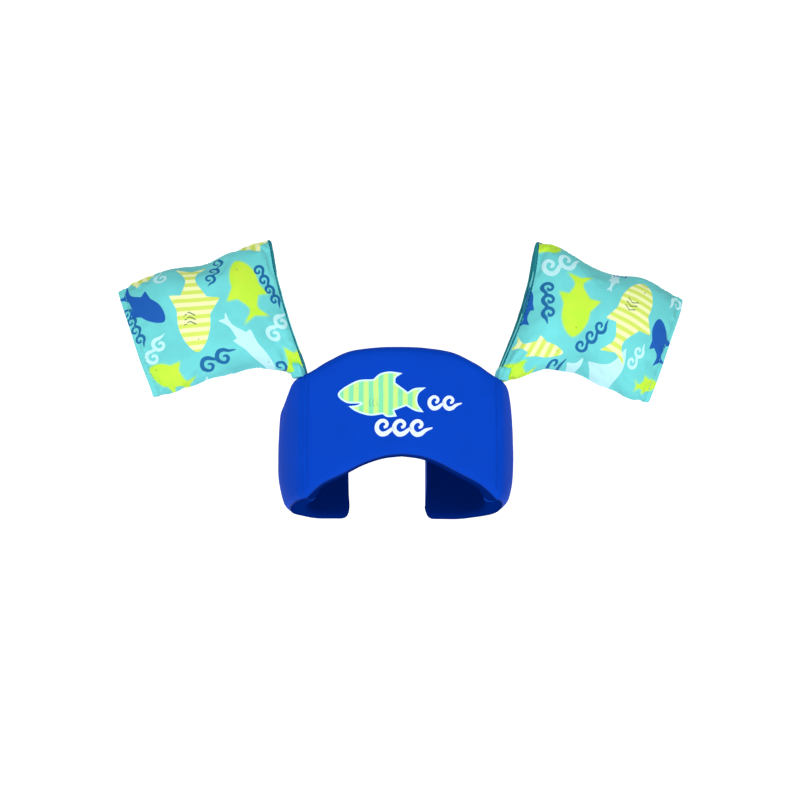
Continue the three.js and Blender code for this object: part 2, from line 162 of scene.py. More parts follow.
def smooth_path(points, steps=6, closed=False, corners=()):
    """A Hermite curve through the points, with a sharp turn at each index in corners."""
    points = np.array(points, float)
    count = len(points)
    ahead, behind = np.roll(points, -1, 0), np.roll(points, 1, 0)
    if not closed:
        ahead[-1], behind[0] = points[-1], points[0]
    tangent = (ahead - behind) / 2
    curve = []
    for i in range(count if closed else count - 1):
        p, q = points[i], points[(i + 1) % count]
        a = (q - p) if i in corners else tangent[i]
        b = (q - p) if (i + 1) % count in corners else tangent[(i + 1) % count]
        for t in np.linspace(0, 1, steps, endpoint=False):
            curve.append(
                (2 * t**3 - 3 * t**2 + 1) * p
                + (t**3 - 2 * t**2 + t) * a
                + (3 * t**2 - 2 * t**3) * q
                + (t**3 - t**2) * b
            )
    if not closed:
        curve.append(points[-1])
    return np.array(curve)


def smoothstep(t):
    t = np.clip(t, 0, 1)
    return t * t * (3 - 2 * t)


# ---- Chest float surface ----


def front_frame(x):
    """Outer face and inward direction of the chest panel at x, in plan."""
    x = np.asarray(x, float)
    outer = np.stack([x, FRONT_Y + x**2 / (2 * BOW_R)], -1)
    inward = np.stack([-x / BOW_R, np.ones_like(x)], -1)
    inward /= np.linalg.norm(inward, axis=-1, keepdims=True)
    return outer, toward_fold(inward, CREASE.x - np.abs(x), np.sign(x))


def toward_fold(inward, distance, side):
    """Turns the inward direction into the fold's plane close to the crease, keeping the thickness."""
    fold = np.stack([-math.sin(FOLD) * side, np.full_like(side, math.cos(FOLD))], -1)
    weight = (1 - smoothstep(distance / 22.0))[..., None]
    turned = inward * (1 - weight) + fold * weight
    turned /= np.linalg.norm(turned, axis=-1, keepdims=True)
    miter = np.sum(turned * inward, -1, keepdims=True)
    return turned / miter


def wing_curve():
    """Right wing's outer face and inward direction at even steps from the crease to the back end."""
    angle = np.linspace(math.asin((CREASE.y - SIDE_Y) / RIB_DEPTH), math.pi / 2, 600)
    half = np.where(angle < 0, FRONT_AXIS[1], BACK_AXIS[1])
    centre = np.where(angle < 0, FRONT_AXIS[0], BACK_AXIS[0])
    outer = np.stack([centre + half * np.cos(angle), SIDE_Y + RIB_DEPTH * np.sin(angle)], -1)
    inward = -np.stack([np.cos(angle) / half, np.sin(angle) / RIB_DEPTH], -1)
    inward /= np.linalg.norm(inward, axis=-1, keepdims=True)
    run = np.concatenate([[0], np.cumsum(np.linalg.norm(np.diff(outer, axis=0), axis=1))])
    return outer, inward, run


WING_OUTER, WING_INWARD, WING_RUN = wing_curve()
WING_LENGTH = float(WING_RUN[-1])


def wing_frame(run):
    """Outer face and inward direction of the right wing at a distance from the crease."""
    run = np.asarray(run, float)
    pick = lambda values: np.stack([np.interp(run, WING_RUN, values[:, i]) for i in (0, 1)], -1)
    return pick(WING_OUTER), toward_fold(pick(WING_INWARD), run, np.ones_like(run))


PAD_FACE, PAD_TURN, PAD_BACK = 22, 7, 12  # points up the face, round each corner and down the back
PAD_ROUND = (11.5, 8.5)  # radii of the corners on the cover side and the lining side
PAD_CROWN = 1.6
WING_CORNER, WING_PINCH = 15.0, 9.0  # radii of the wing's end, seen from behind and from above


def pad_profile(low, high, thick):
    """One loop round a foam pad: the depth behind its face, and the height, of each point."""
    face, turn, back = PAD_FACE, PAD_TURN, PAD_BACK
    (outer_round, inner_round), crown = PAD_ROUND, PAD_CROWN
    outer_round = min(outer_round, thick * 0.55, (high - low) * 0.45)
    inner_round = min(inner_round, thick * 0.42, (high - low) * 0.4)
    quarter = np.linspace(0, math.pi / 2, turn)
    t = np.linspace(0, 1, face)
    depth = [-crown * np.sin(math.pi * t) ** 0.8]
    height = [low + outer_round + (high - low - 2 * outer_round) * t]
    depth += [outer_round * (1 - np.cos(quarter[1:])), thick - inner_round * (1 - np.sin(quarter))]
    height += [high - outer_round * (1 - np.sin(quarter[1:])), high - inner_round * (1 - np.cos(quarter))]
    t = np.linspace(0, 1, back)[1:-1]
    depth += [np.full_like(t, thick)]
    height += [high - inner_round - (high - low - 2 * inner_round) * t]
    depth += [thick - inner_round * (1 - np.cos(quarter)), outer_round * (1 - np.sin(quarter[:-1]))]
    height += [low + inner_round * (1 - np.sin(quarter)), low + outer_round * (1 - np.cos(quarter[:-1]))]
    depth, height = np.concatenate(depth), np.concatenate(height)
    return depth, height


# The lining starts part of the way round the top corner and ends part of the way round the foot
LINING_FROM = PAD_FACE + (PAD_TURN - 1) + 4
LINING_TO = PAD_FACE + (PAD_TURN - 1) + PAD_TURN + (PAD_BACK - 2) + PAD_TURN + 2


def pad_point(outer, inward, depth, height):
    """Plan frames and a profile to points: one ring per station."""
    plan = outer[:, None, :] + inward[:, None, :] * depth[..., None]
    return np.concatenate([plan, height[..., None]], -1)


def rounding(left, radius):
    """How far a rounded end is drawn in, with so much length left before the end."""
    return radius - math.sqrt(radius**2 - max(radius - left, 0) ** 2)


def crease_dip(distance):
    """How far the seam at the fold is pulled in."""
    return 1.4 * np.exp(-((distance / 4.2) ** 2))


def panel_rings(inset=0.0, ends=0.0):
    """Rings across the chest panel, from the left fold to the right one."""
    half = CREASE.x - ends
    x = half * np.sin(np.linspace(-1, 1, 77) * math.pi / 2 * 0.999)
    outer, inward = front_frame(x)
    rings = []
    for i, at in enumerate(np.abs(x)):
        low, high = line_at(ARCH_LINE, at) + inset, line_at(NECK_LINE, at) - inset
        depth, height = pad_profile(low, high, THICK - 2 * inset)
        depth = depth + inset + crease_dip(CREASE.x - at) * (1 - depth / THICK) * (inset == 0)
        rings.append(pad_point(outer[i : i + 1], inward[i : i + 1], depth[None], height[None])[0])
    return np.array(rings), x + half


def wing_rings(inset=0.0, ends=0.0):
    """Rings along the right wing, from the fold to its rounded end."""
    length = WING_LENGTH - 0.5
    ease = np.linspace(0, 1, 88)
    run = ends + (length - ends - inset) * (ease - 0.055 * np.sin(2 * math.pi * ease) / math.pi)
    run = np.concatenate([run, length - inset - 14 * (1 - np.sin(np.linspace(0.3, 1, 12) * math.pi / 2))])
    run = np.unique(np.round(run, 3))
    run = run[run <= length - inset - 0.01]
    outer, inward = wing_frame(run)
    rings = []
    for i, at in enumerate(run):
        left = max(length - inset - at, 0)
        corner, pinch = rounding(left, WING_CORNER), rounding(left, WING_PINCH)
        low = line_at(WING_FOOT, at) + inset + corner
        high = line_at(WING_TOP, at) - inset - corner
        thick = THICK - 2 * inset - 1.5 * pinch
        depth, height = pad_profile(low, high, thick)
        depth = depth + inset + 0.75 * pinch + crease_dip(at) * (1 - depth / THICK) * (inset == 0)
        rings.append(pad_point(outer[i : i + 1], inward[i : i + 1], depth[None], height[None])[0])
    return np.array(rings), run


def panel_surface(x, z, lift):
    """Points a little above the chest panel's outer face."""
    outer, inward = front_frame(x)
    low, high = line_at(ARCH_LINE, np.abs(x)), line_at(NECK_LINE, np.abs(x))
    t = np.clip((z - low - PAD_ROUND[0]) / (high - low - 2 * PAD_ROUND[0]), 0, 1)
    depth = -PAD_CROWN * np.sin(math.pi * t) ** 0.8 - lift
    return np.concatenate([outer + inward * depth[..., None], z[..., None]], -1)


# ---- Arm float surface ----

# How each float's cloth is pulled out of its even outline: place (u, v), shift (du, dv), reach
CLOTH_PULLS = {
    "left": [
        ((-80, 69), (-4, 4), 26), ((-80, -69), (-4.8, -12), 34), ((80, 62), (3, -4), 40),
        ((80, -59), (-5, -2), 34), ((-16, -56), (0, -2.5), 34), ((20, 65), (0, 1.5), 40),
    ],
    "right": [
        ((0, 0), (7.2, 9.7), 900), ((-80, 69), (-3.8, 2.3), 26), ((-80, -69), (-9, -22), 38),
        ((80, 62), (5.8, -6), 46), ((80, -59), (-2.7, -6.7), 34), ((-10, 64), (0, -4), 30),
        ((24, -57), (0, -5), 44),
    ],
}


def pulled(points, name):
    """Shifts (u, v, w) points by the pulls on that side's cloth."""
    moved = np.array(points)
    for place, shift, reach in CLOTH_PULLS[name]:
        away = np.hypot(points[..., 0] - place[0], points[..., 1] - place[1])
        moved[..., :2] += np.exp(-((away / reach) ** 2))[..., None] * np.array(shift, float)
    return moved


def sleeve_section(u, around, hole=False):
    """Offsets across the sleeve at u: w is back, v is up; around 0 is the front, rising."""
    top, foot = line_at(ARM_TOP, u), line_at(ARM_FOOT, u)
    half = HOLE_HALF if hole else (top - foot) / 2
    middle = HOLE_LIFT if hole else (top + foot) / 2
    depth = line_at(HOLE_DEPTH if hole else ARM_DEPTH, u)
    w = -np.cos(around) * depth
    return w, np.broadcast_to(middle + np.sin(around) * half, w.shape)


def sleeve_to_world(points, side):
    """(u, v, w) in the sleeve's frame to the row frame."""
    u, v, w = points[..., 0], points[..., 1], points[..., 2]
    x = ARM_CENTRE[0] + u * math.cos(ARM_TILT) + v * math.sin(ARM_TILT)
    z = ARM_CENTRE[2] - u * math.sin(ARM_TILT) + v * math.cos(ARM_TILT)
    return np.stack([x * side, ARM_CENTRE[1] + w, z], -1)


# ---- Meshes ----


def new_object(name, points, faces, materials, picks=None, smooth=True):
    """A mesh object from millimetre points; picks gives each face's material."""
    mesh = bpy.data.meshes.new(name)
    metres = np.asarray(points, float).reshape(-1, 3) * MM
    mesh.from_pydata(metres.tolist(), [], [list(map(int, face)) for face in faces])
    for material in materials:
        mesh.materials.append(material)
    if picks is not None:
        mesh.polygons.foreach_set("material_index", np.asarray(picks, np.int32))
    mesh.polygons.foreach_set("use_smooth", [smooth] * len(mesh.polygons))
    mesh.update()
    made = bpy.data.objects.new(name, mesh)
    bpy.context.scene.collection.objects.link(made)
    return made


def facing_out(obj):
    """Turns every face outwards."""
    work = bmesh.new()
    work.from_mesh(obj.data)
    bmesh.ops.recalc_face_normals(work, faces=work.faces)
    work.to_mesh(obj.data)
    work.free()
    return obj


def grid_faces(rows, columns, wrap_rows=False):
    """Quads over a grid whose columns close on themselves."""
    r = np.arange(rows if wrap_rows else rows - 1)
    c = np.arange(columns)
    r, c = [a.ravel() for a in np.meshgrid(r, c, indexing="ij")]
    down, across = (r + 1) % rows, (c + 1) % columns
    return np.stack([r * columns + c, r * columns + across, down * columns + across, down * columns + c], 1)


def capped(rows, columns):
    """Grid faces and a fan-free end face at each end."""
    last = (rows - 1) * columns
    return [*grid_faces(rows, columns), list(range(columns))[::-1], list(range(last, last + columns))]


def cloth_uv(obj, along, around):
    """A UV map in centimetres of cloth, from per-vertex distances."""
    layer = obj.data.uv_layers.new(name="Cloth")
    loops = np.empty(len(obj.data.loops), np.int32)
    obj.data.loops.foreach_get("vertex_index", loops)
    flat = np.stack([along[loops], around[loops]], 1) / 10.0
    layer.data.foreach_set("uv", flat.ravel())
    return obj


def ring_lengths(rings):
    """Distance round each ring, per vertex."""
    steps = np.linalg.norm(np.diff(rings, axis=1), axis=2)
    return np.concatenate([np.zeros((len(rings), 1)), np.cumsum(steps, 1)], 1)


def pad_object(name, rings, along, materials, lining=True):
    """A closed pad from its rings; faces on the lining side take the second material."""
    rows, columns = rings.shape[:2]
    faces = capped(rows, columns)
    place = np.tile(np.arange(columns), rows - 1)
    picks = ((place >= LINING_FROM) & (place < LINING_TO) & lining).astype(int)
    picks = np.concatenate([picks, [0, 0]])
    made = facing_out(new_object(name, rings, faces, materials, picks))
    return cloth_uv(made, np.repeat(along, columns), ring_lengths(rings).ravel())


def mirror_points(points, side):
    points = np.array(points, float)
    points[..., 0] *= side
    return points


def tube(name, path, radius, material, sides=8):
    """A round cord along a path, closed at both ends."""
    path = np.asarray(path, float)
    along = np.gradient(path, axis=0)
    along /= np.linalg.norm(along, axis=1, keepdims=True)
    up = np.where(np.abs(along[:, 2:]) > 0.9, [[1.0, 0, 0]], [[0, 0, 1.0]])
    a = np.cross(along, up)
    a /= np.linalg.norm(a, axis=1, keepdims=True)
    b = np.cross(along, a)
    turn = np.linspace(0, 2 * math.pi, sides, endpoint=False)
    cos, sin = np.cos(turn)[None, :, None], np.sin(turn)[None, :, None]
    rings = path[:, None] + radius * (a[:, None] * cos + b[:, None] * sin)
    made = facing_out(new_object(name, rings, capped(len(path), sides), [material]))
    lengths = np.concatenate([[0], np.cumsum(np.linalg.norm(np.diff(path, axis=0), axis=1))])
    return cloth_uv(made, np.repeat(lengths, sides), np.tile(turn * radius, len(path)))


def stitches(name, paths, out, material, length=2.8, gap=1.5, radius=0.42):
    """Rows of thread stitches that lie on a surface; out gives the way out of it at a point."""
    points, faces = [], []
    profile = [(-0.5, 0.0, -0.3), (-0.36, 0.8, 0.35), (0.0, 1.0, 0.7), (0.36, 0.8, 0.35), (0.5, 0.0, -0.3)]
    for path in paths:
        path = np.asarray(path, float)
        run = np.concatenate([[0], np.cumsum(np.linalg.norm(np.diff(path, axis=0), axis=1))])
        for start in np.arange(gap, run[-1] - length, length + gap):
            ends = [np.array([np.interp(start + d, run, path[:, i]) for i in range(3)]) for d in (0, length)]
            middle, along = (ends[0] + ends[1]) / 2, ends[1] - ends[0]
            normal = out(middle)
            across = np.cross(along, normal)
            across /= np.linalg.norm(across)
            base = len(points)
            for t, wide, lift in profile:
                for k in range(5):
                    a = 2 * math.pi * k / 5
                    spread = radius * max(wide, 0.12)
                    points.append(
                        middle + along * t + normal * radius * lift + across * spread * math.cos(a)
                        + normal * spread * math.sin(a)
                    )
            quads = grid_faces(len(profile), 5) + base
            faces += [*quads.tolist(), [base + k for k in range(5)][::-1], [base + 20 + k for k in range(5)]]
    return facing_out(new_object(name, points, faces, [material]))


def ribbon(name, path, low, high, thick, material):
    """Webbing on edge along a plan path, from one height to another, with soft edges."""
    path = np.asarray(path, float)
    along = np.gradient(path, axis=0)
    along /= np.linalg.norm(along, axis=1, keepdims=True)
    normal = np.stack([-along[:, 1], along[:, 0]], 1)
    z = np.linspace(low, high, 12)
    swell = 1 - 0.45 * np.abs(np.linspace(-1, 1, 12)) ** 8
    loop_z = np.concatenate([z, z[::-1]])
    loop_d = np.concatenate([swell, -swell[::-1]]) * thick / 2
    plan = path[:, None, :] + normal[:, None, :] * loop_d[None, :, None]
    rings = np.concatenate([plan, np.broadcast_to(loop_z[None, :, None], plan.shape[:2] + (1,))], -1)
    made = facing_out(new_object(name, rings, capped(*rings.shape[:2]), [material]))
    run = np.concatenate([[0], np.cumsum(np.linalg.norm(np.diff(path, axis=0), axis=1))])
    return cloth_uv(made, np.repeat(run, 24), np.tile(loop_z, len(path)))


def set_values(obj, name, values):
    """A named number on every vertex."""
    layer = obj.data.attributes.new(name, "FLOAT", "POINT")
    layer.data.foreach_set("value", np.asarray(values, np.float32))


def apply_modifiers(obj):
    """Replaces the mesh with its evaluated copy."""
    graph = bpy.context.evaluated_depsgraph_get()
    mesh = bpy.data.meshes.new_from_object(obj.evaluated_get(graph))
    obj.modifiers.clear()
    old, obj.data = obj.data, mesh
    bpy.data.meshes.remove(old)
    return obj


# ---- Print motifs ----


FISH = [  # unit fish: nose at +x, back up
    (0.5, 0.0), (0.42, 0.1), (0.26, 0.17), (0.1, 0.19), (-0.08, 0.32), (-0.1, 0.17), (-0.32, 0.06),
    (-0.5, 0.2), (-0.43, 0.03), (-0.49, -0.15), (-0.32, -0.05), (-0.14, -0.12), (-0.16, -0.25),
    (0.02, -0.18), (0.22, -0.18), (0.4, -0.11),
]
FISH_CORNERS = (3, 4, 5, 7, 8, 9, 11, 12, 13)
PLUMP, SLIM = 1.15, 0.5  # how a fish's height is scaled
FIN = [(-0.5, -0.3), (-0.28, 0.16), (-0.42, 0.62), (-0.05, 0.42), (0.2, 0.08), (0.55, -0.22), (0.5, -0.34)]
FIN_CORNERS = (0, 2, 5, 6)
OUTLINES = {
    "fish": (FISH, FISH_CORNERS, 1.0),
    "plump": (FISH, FISH_CORNERS, PLUMP),
    "lean": (FISH, FISH_CORNERS, 0.72),
    "slim": (FISH, FISH_CORNERS, SLIM),
    "fin": (FIN, FIN_CORNERS, 1.0),
}


def curl_chain(count):
    """Spines and half widths of a run of curling waves, one unit apart along +x."""
    spines = []
    for i in range(count):
        spine = [
            (0.56, 0.5), (0.7, 0.56), (0.74, 0.74), (0.58, 0.88), (0.36, 0.84), (0.18, 0.62), (0.2, 0.32),
            (0.42, 0.12), (0.7, 0.16), (0.96, 0.36), (1.16, 0.5),
        ]
        wide = [0.07, 0.09, 0.1, 0.1, 0.11, 0.12, 0.13, 0.14, 0.13, 0.1, 0.07]
        if i == count - 1:
            spine[-1], wide[-1] = (1.36, 0.5), 0.03
        path = smooth_path(spine, 4)
        half = np.interp(np.linspace(0, 1, len(path)), np.linspace(0, 1, len(wide)), wide)
        spines.append((path + np.array([i, 0.0]) - np.array([count / 2, 0.5]), half))
    return spines


def placed(points, at, angle, scale, flip=False):
    """Turns, scales and moves flat points."""
    points = np.array(points, float) * scale
    if flip:
        points[:, 1] *= -1
    c, s = math.cos(math.radians(angle)), math.sin(math.radians(angle))
    return points @ np.array([[c, s], [-s, c]]) + np.array(at, float)


def polygon_distance(points, outline):
    """Signed distance to a closed outline, negative inside."""
    best = np.full(len(points), 1e9)
    inside = np.zeros(len(points), bool)
    for p, q in zip(outline, np.roll(outline, -1, 0)):
        edge, way = q - p, points - p
        t = np.clip(way @ edge / max(edge @ edge, 1e-12), 0, 1)
        best = np.minimum(best, np.hypot(*(way - t[:, None] * edge).T))
        crosses = (p[1] > points[:, 1]) != (q[1] > points[:, 1])
        slope = edge[0] / edge[1] if abs(edge[1]) > 1e-12 else 0.0
        inside ^= crosses & (points[:, 0] < p[0] + slope * (points[:, 1] - p[1]))
    return np.where(inside, -best, best)


def stroke_distance(points, path, half):
    """Signed distance to a line whose half width changes along it."""
    best = np.full(len(points), 1e9)
    for p, q, a, b in zip(path[:-1], path[1:], half[:-1], half[1:]):
        edge, way = q - p, points - p
        t = np.clip(way @ edge / max(edge @ edge, 1e-12), 0, 1)
        best = np.minimum(best, np.hypot(*(way - t[:, None] * edge).T) - (a + (b - a) * t))
    return best


# ---- The arm floats' all-over print ----

FAR = 5.0  # distance given to cloth with no motif near it
PRINT_INKS = ("lime", "royal", "navy", "white", "stripe", "mark")

# Each motif: kind, ink, place (u, v) of its middle, heading in degrees, length, flip
FRONT_PRINT = {
    "left": [
        ("fish", "royal", (62, 33), -125, 58, False),
        ("fish", "stripe", (14, 16), -81, 92, True),
        ("plump", "lime", (-46, 21), 84, 66, True),
        ("curls", "navy", (-18, 50), -57, 11.5, 3),
        ("curls", "navy", (-68, 22), 254, 11.5, 4),
        ("curls", "white", (38, 57), 111, 14, 1),
        ("curls", "navy", (77, 16), 262, 11, 4),
        ("curls", "white", (-66, -23), 139, 15, 2),
        ("plump", "lime", (56, -47), 36, 50, False),
        ("curls", "navy", (5, -42), 165, 18, 2),
        ("slim", "white", (-32, -31), 236, 74, True),
        ("curls", "white", (64, -17), 137, 15, 2),
        ("plump", "lime", (-79, -57), -50, 52, False),
        ("curls", "navy", (-59, -57), -35, 12, 1),
        ("fish", "stripe", (60, 68), 178, 38, False),
        ("fish", "stripe", (-66, 72), 4, 46, True),
        ("slim", "white", (20, -64), -8, 52, False),
        ("plump", "lime", (57, -84), 170, 44, False),
    ],
    "right": [
        ("curls", "white", (-58, 47), 35, 19, 2),
        ("curls", "navy", (-61, 6), -74, 13.5, 3),
        ("plump", "lime", (-31, 9), -82, 68, False),
        ("lean", "royal", (-80, -2), 103, 44, False),
        ("lean", "stripe", (-54, -40), -6, 50, False),
        ("plump", "lime", (-66, -60), 176, 34, False),
        ("curls", "navy", (-38, -59), 39, 14, 2),
        ("curls", "navy", (-7, -20), 59, 13.5, 3),
        ("fish", "stripe", (28, 13), 79, 92, True),
        ("fish", "royal", (68, -1), 110, 50, True),
        ("curls", "white", (47, -25), 72, 12, 2),
        ("curls", "white", (75, 52), -125, 15, 1),
        ("fin", "white", (24, -52), -50, 46, False),
        ("fin", "white", (-12, -54), -56, 18, False),
        ("slim", "white", (4, 53), 76, 42, True),
        ("curls", "navy", (11, 64), 176, 8, 2),
        ("plump", "lime", (-74, 66), 0, 34, False),
        ("plump", "lime", (70, -45), 20, 26, False),
        ("plump", "lime", (46, -78), 172, 52, False),
    ],
}
BACK_PRINT = [
    ("plump", "lime", (-44, 22), 65, 64, False),
    ("fish", "royal", (8, 36), 200, 52, False),
    ("fish", "stripe", (46, 6), -100, 86, False),
    ("curls", "navy", (-12, -8), 40, 13, 3),
    ("curls", "white", (-66, -14), 110, 15, 2),
    ("slim", "white", (-34, -38), 25, 66, False),
    ("curls", "navy", (18, -44), -10, 14, 3),
    ("plump", "lime", (70, -42), 80, 46, False),
    ("curls", "white", (72, 46), 30, 15, 2),
    ("curls", "white", (20, 4), 250, 13, 1),
    ("lean", "royal", (-70, 54), -60, 48, False),
]


def reference_arc():
    """Arc length round a middling sleeve section, for laying the print on the cloth."""
    around = np.linspace(0, math.pi / 2, 200)
    points = np.stack([-np.cos(around) * 31.0, np.sin(around) * 63.0], -1)
    run = np.concatenate([[0], np.cumsum(np.linalg.norm(np.diff(points, axis=0), axis=1))])
    return around, run


ARC_ANGLE, ARC_RUN = reference_arc()
QUARTER = float(ARC_RUN[-1])


def print_height(u, v, back):
    """Places a drawn point (u, v) on the cloth: how far round it lies, from the middle of the front."""
    top, foot = line_at(ARM_TOP, u), line_at(ARM_FOOT, u)
    middle, half = (top + foot) / 2, (top - foot) / 2
    ratio = (v - middle) / half
    run = np.interp(np.arcsin(np.clip(np.abs(ratio), 0, 1)), ARC_ANGLE, ARC_RUN)
    run = np.sign(ratio) * (run + np.maximum(np.abs(ratio) - 1, 0) * half)
    return 2 * QUARTER - run if back else run


def cloth_height(around):
    """The same measure for a point of the sleeve at an angle round its section."""
    turn = np.mod(around + math.pi / 2, 2 * math.pi) - math.pi / 2
    folded = np.where(turn > math.pi / 2, math.pi - turn, turn)
    run = np.sign(folded) * np.interp(np.abs(folded), ARC_ANGLE, ARC_RUN)
    return np.where(turn > math.pi / 2, 2 * QUARTER - run, run)


GILLS = [[(x + 0.04, -0.11), (x, -0.045), (x + 0.04, 0.02)] for x in (0.06, 0.11, 0.16)]
GILLS.append([(0.36, 0.03), (0.366, 0.035)])


def near(points, shape, margin=FAR):
    low, high = shape.min(0) - margin, shape.max(0) + margin
    return np.all((points > low) & (points < high), axis=1)


def lay_motif(cloth, motif, back, inks, band):
    """Draws one motif into the distance of its ink at each point of the cloth."""
    kind, ink, at, angle, size, option = motif
    on_cloth = lambda flat: np.stack([flat[:, 0], print_height(flat[:, 0], flat[:, 1], back)], 1)
    if kind == "curls":
        for spine, half in curl_chain(option):
            path = on_cloth(placed(spine, at, angle, size))
            pick = near(cloth, path)
            inks[ink][pick] = np.minimum(inks[ink][pick], stroke_distance(cloth[pick], path, half * size))
        return
    corners, sharp, tall = OUTLINES[kind]
    shape = lambda points: placed(np.array(points, float) * (1, tall), at, angle, size, option)
    outline = on_cloth(shape(smooth_path(corners, 5, True, sharp)))
    pick = near(cloth, outline)
    inside = polygon_distance(cloth[pick], outline)
    inks[ink][pick] = np.minimum(inks[ink][pick], inside)
    axis = np.array([math.cos(math.radians(angle)), math.sin(math.radians(angle))])
    nearer = np.zeros(len(cloth), bool)
    nearer[pick] = inside < 1.0
    if ink == "stripe":
        band[nearer] = (cloth[nearer] - on_cloth(np.array([at], float))) @ axis
    if kind == "fin":
        return
    if ink == "royal":
        return
    for mark in GILLS if kind == "fish" else GILLS[3:]:
        path = on_cloth(shape(mark))
        pick = near(cloth, path, 3.0)
        drawn = stroke_distance(cloth[pick], path, np.full(len(path), 0.75))
        inks["mark"][pick] = np.minimum(inks["mark"][pick], drawn)


def print_on_cloth(cloth, side):
    """Signed distances of every ink over the sleeve's cloth, and the stripes' measure."""
    inks = {ink: np.full(len(cloth), FAR) for ink in PRINT_INKS}
    band = np.zeros(len(cloth))
    for motif in FRONT_PRINT[side]:
        lay_motif(cloth, motif, False, inks, band)
    for motif in BACK_PRINT:
        lay_motif(cloth, motif, True, inks, band)
    return inks, band


# ---- Shader building ----


class Value:
    """A socket's value; arithmetic on it adds the nodes that work it out."""

    def __init__(self, finish, socket):
        self.finish, self.socket = finish, socket

    def math(self, operation, *others):
        inputs = dict(enumerate((self, *others)))
        return self.finish.node("ShaderNodeMath", {"operation": operation}, inputs)

    def reflected(self, operation, other):
        return self.finish.node("ShaderNodeMath", {"operation": operation}, {0: other, 1: self})

    def __add__(self, other):
        return self.math("ADD", other)

    def __sub__(self, other):
        return self.math("SUBTRACT", other)

    def __mul__(self, other):
        return self.math("MULTIPLY", other)

    def __truediv__(self, other):
        return self.math("DIVIDE", other)

    def __pow__(self, other):
        return self.math("POWER", other)

    def __rsub__(self, other):
        return self.reflected("SUBTRACT", other)

    __radd__, __rmul__ = __add__, __mul__

    def __abs__(self):
        return self.math("ABSOLUTE")

    def fract(self):
        return self.math("FRACT")

    def sin(self):
        return self.math("SINE")

    def clamp(self):
        return self.finish.node("ShaderNodeClamp", {}, {"Value": self})


class Finish:
    """One material, built a node at a time."""

    def __init__(self, name):
        self.material = bpy.data.materials.new(f"vest_{name}")
        self.material.use_nodes = True
        self.tree = self.material.node_tree
        self.shader = self.tree.nodes["Principled BSDF"]

    def node(self, kind, settings=None, inputs=None, out=0):
        """Adds a node: its settings first, then the values or links of its sockets."""
        made = self.tree.nodes.new(kind)
        for key, value in (settings or {}).items():
            setattr(made, key, value)
        for key, value in (inputs or {}).items():
            self.plug(made.inputs[key], value)
        return Value(self, made.outputs[out])

    def plug(self, socket, value):
        if isinstance(value, Value):
            self.tree.links.new(value.socket, socket)
        else:
            socket.default_value = value

    def set(self, **channels):
        """Sets or links the surface's own sockets, with spaces written as underscores."""
        for key, value in channels.items():
            self.plug(self.shader.inputs[key.replace("_", " ")], value)
        return self

    def mix(self, factor, first, second):
        """One colour over another."""
        return self.node("ShaderNodeMix", {"data_type": "RGBA"}, {0: factor, 6: first, 7: second}, out=2)

    def named(self, attribute):
        return self.node("ShaderNodeAttribute", {"attribute_name": attribute}, out="Fac")

    def cloth(self):
        """Centimetres along and round the cloth."""
        flat = self.node("ShaderNodeUVMap", {"uv_map": "Cloth"})
        parts = self.node("ShaderNodeSeparateXYZ", {}, {0: flat})
        return parts, Value(self, parts.socket.node.outputs[1])

    def noise(self, scale, detail=3.0, rough=0.55):
        place = self.node("ShaderNodeTexCoord", {}, out="Object")
        inputs = {"Vector": place, "Scale": scale, "Detail": detail, "Roughness": rough}
        return self.node("ShaderNodeTexNoise", {}, inputs)

    def bump(self, height, strength, distance):
        """Raised detail; distance is in metres."""
        inputs = {"Height": height, "Strength": strength, "Distance": distance}
        return self.set(Normal=self.node("ShaderNodeBump", {}, inputs))


def rgba(colour):
    return (*tuple(colour)[:3], 1.0)


def shaded(colour, factor):
    """A darker or lighter version of a colour."""
    return tuple(min(1.0, c * factor) for c in tuple(colour)[:3]) + (1.0,)


def knit_height(finish, pitch):
    """Jersey wales and courses at a pitch in millimetres."""
    along, around = finish.cloth()
    wale = abs((along * (10 / pitch)).fract() - 0.5) * 2
    loop = abs((around * (8 / pitch) + wale * 0.5).fract() - 0.5) * 2
    return (1 - wale**3) * (0.55 + 0.45 * (1 - loop))


def knit(name, colour, pitch=1.25, sheen=0.04, contrast=0.14, gloss=0.05):
    """Brushed nylon knit: fine ribs with painted shade in their grooves, a soft sheen and slightly uneven
    dye.
    """
    finish = Finish(name)
    cloudy = finish.noise(28, 3)
    fine = finish.noise(900, 2)
    tone = (cloudy * 0.7 + fine * 0.3).clamp()
    base = finish.mix(tone, shaded(colour, 1 - contrast), shaded(colour, 1 + contrast))
    ribs = knit_height(finish, pitch)
    # Painted shade: where the rib height is low, in the grooves, the colour is darkened towards a shaded copy
    # of itself.
    base = finish.mix((1 - ribs) * 0.22, base, shaded(colour, 0.62))
    finish.set(Base_Color=base, Roughness=0.62 + fine * 0.16, Sheen_Weight=sheen, Sheen_Roughness=0.4)
    finish.set(Sheen_Tint=shaded(colour, 1.6), Specular_IOR_Level=gloss)
    return finish.bump(ribs * 0.5 + fine * 0.25, 0.35, 0.00022).material


def ink_mask(finish, ink, soft=0.35):
    """1 where an ink is printed, from its signed distance."""
    return (0.5 - finish.named(ink) / soft).clamp()


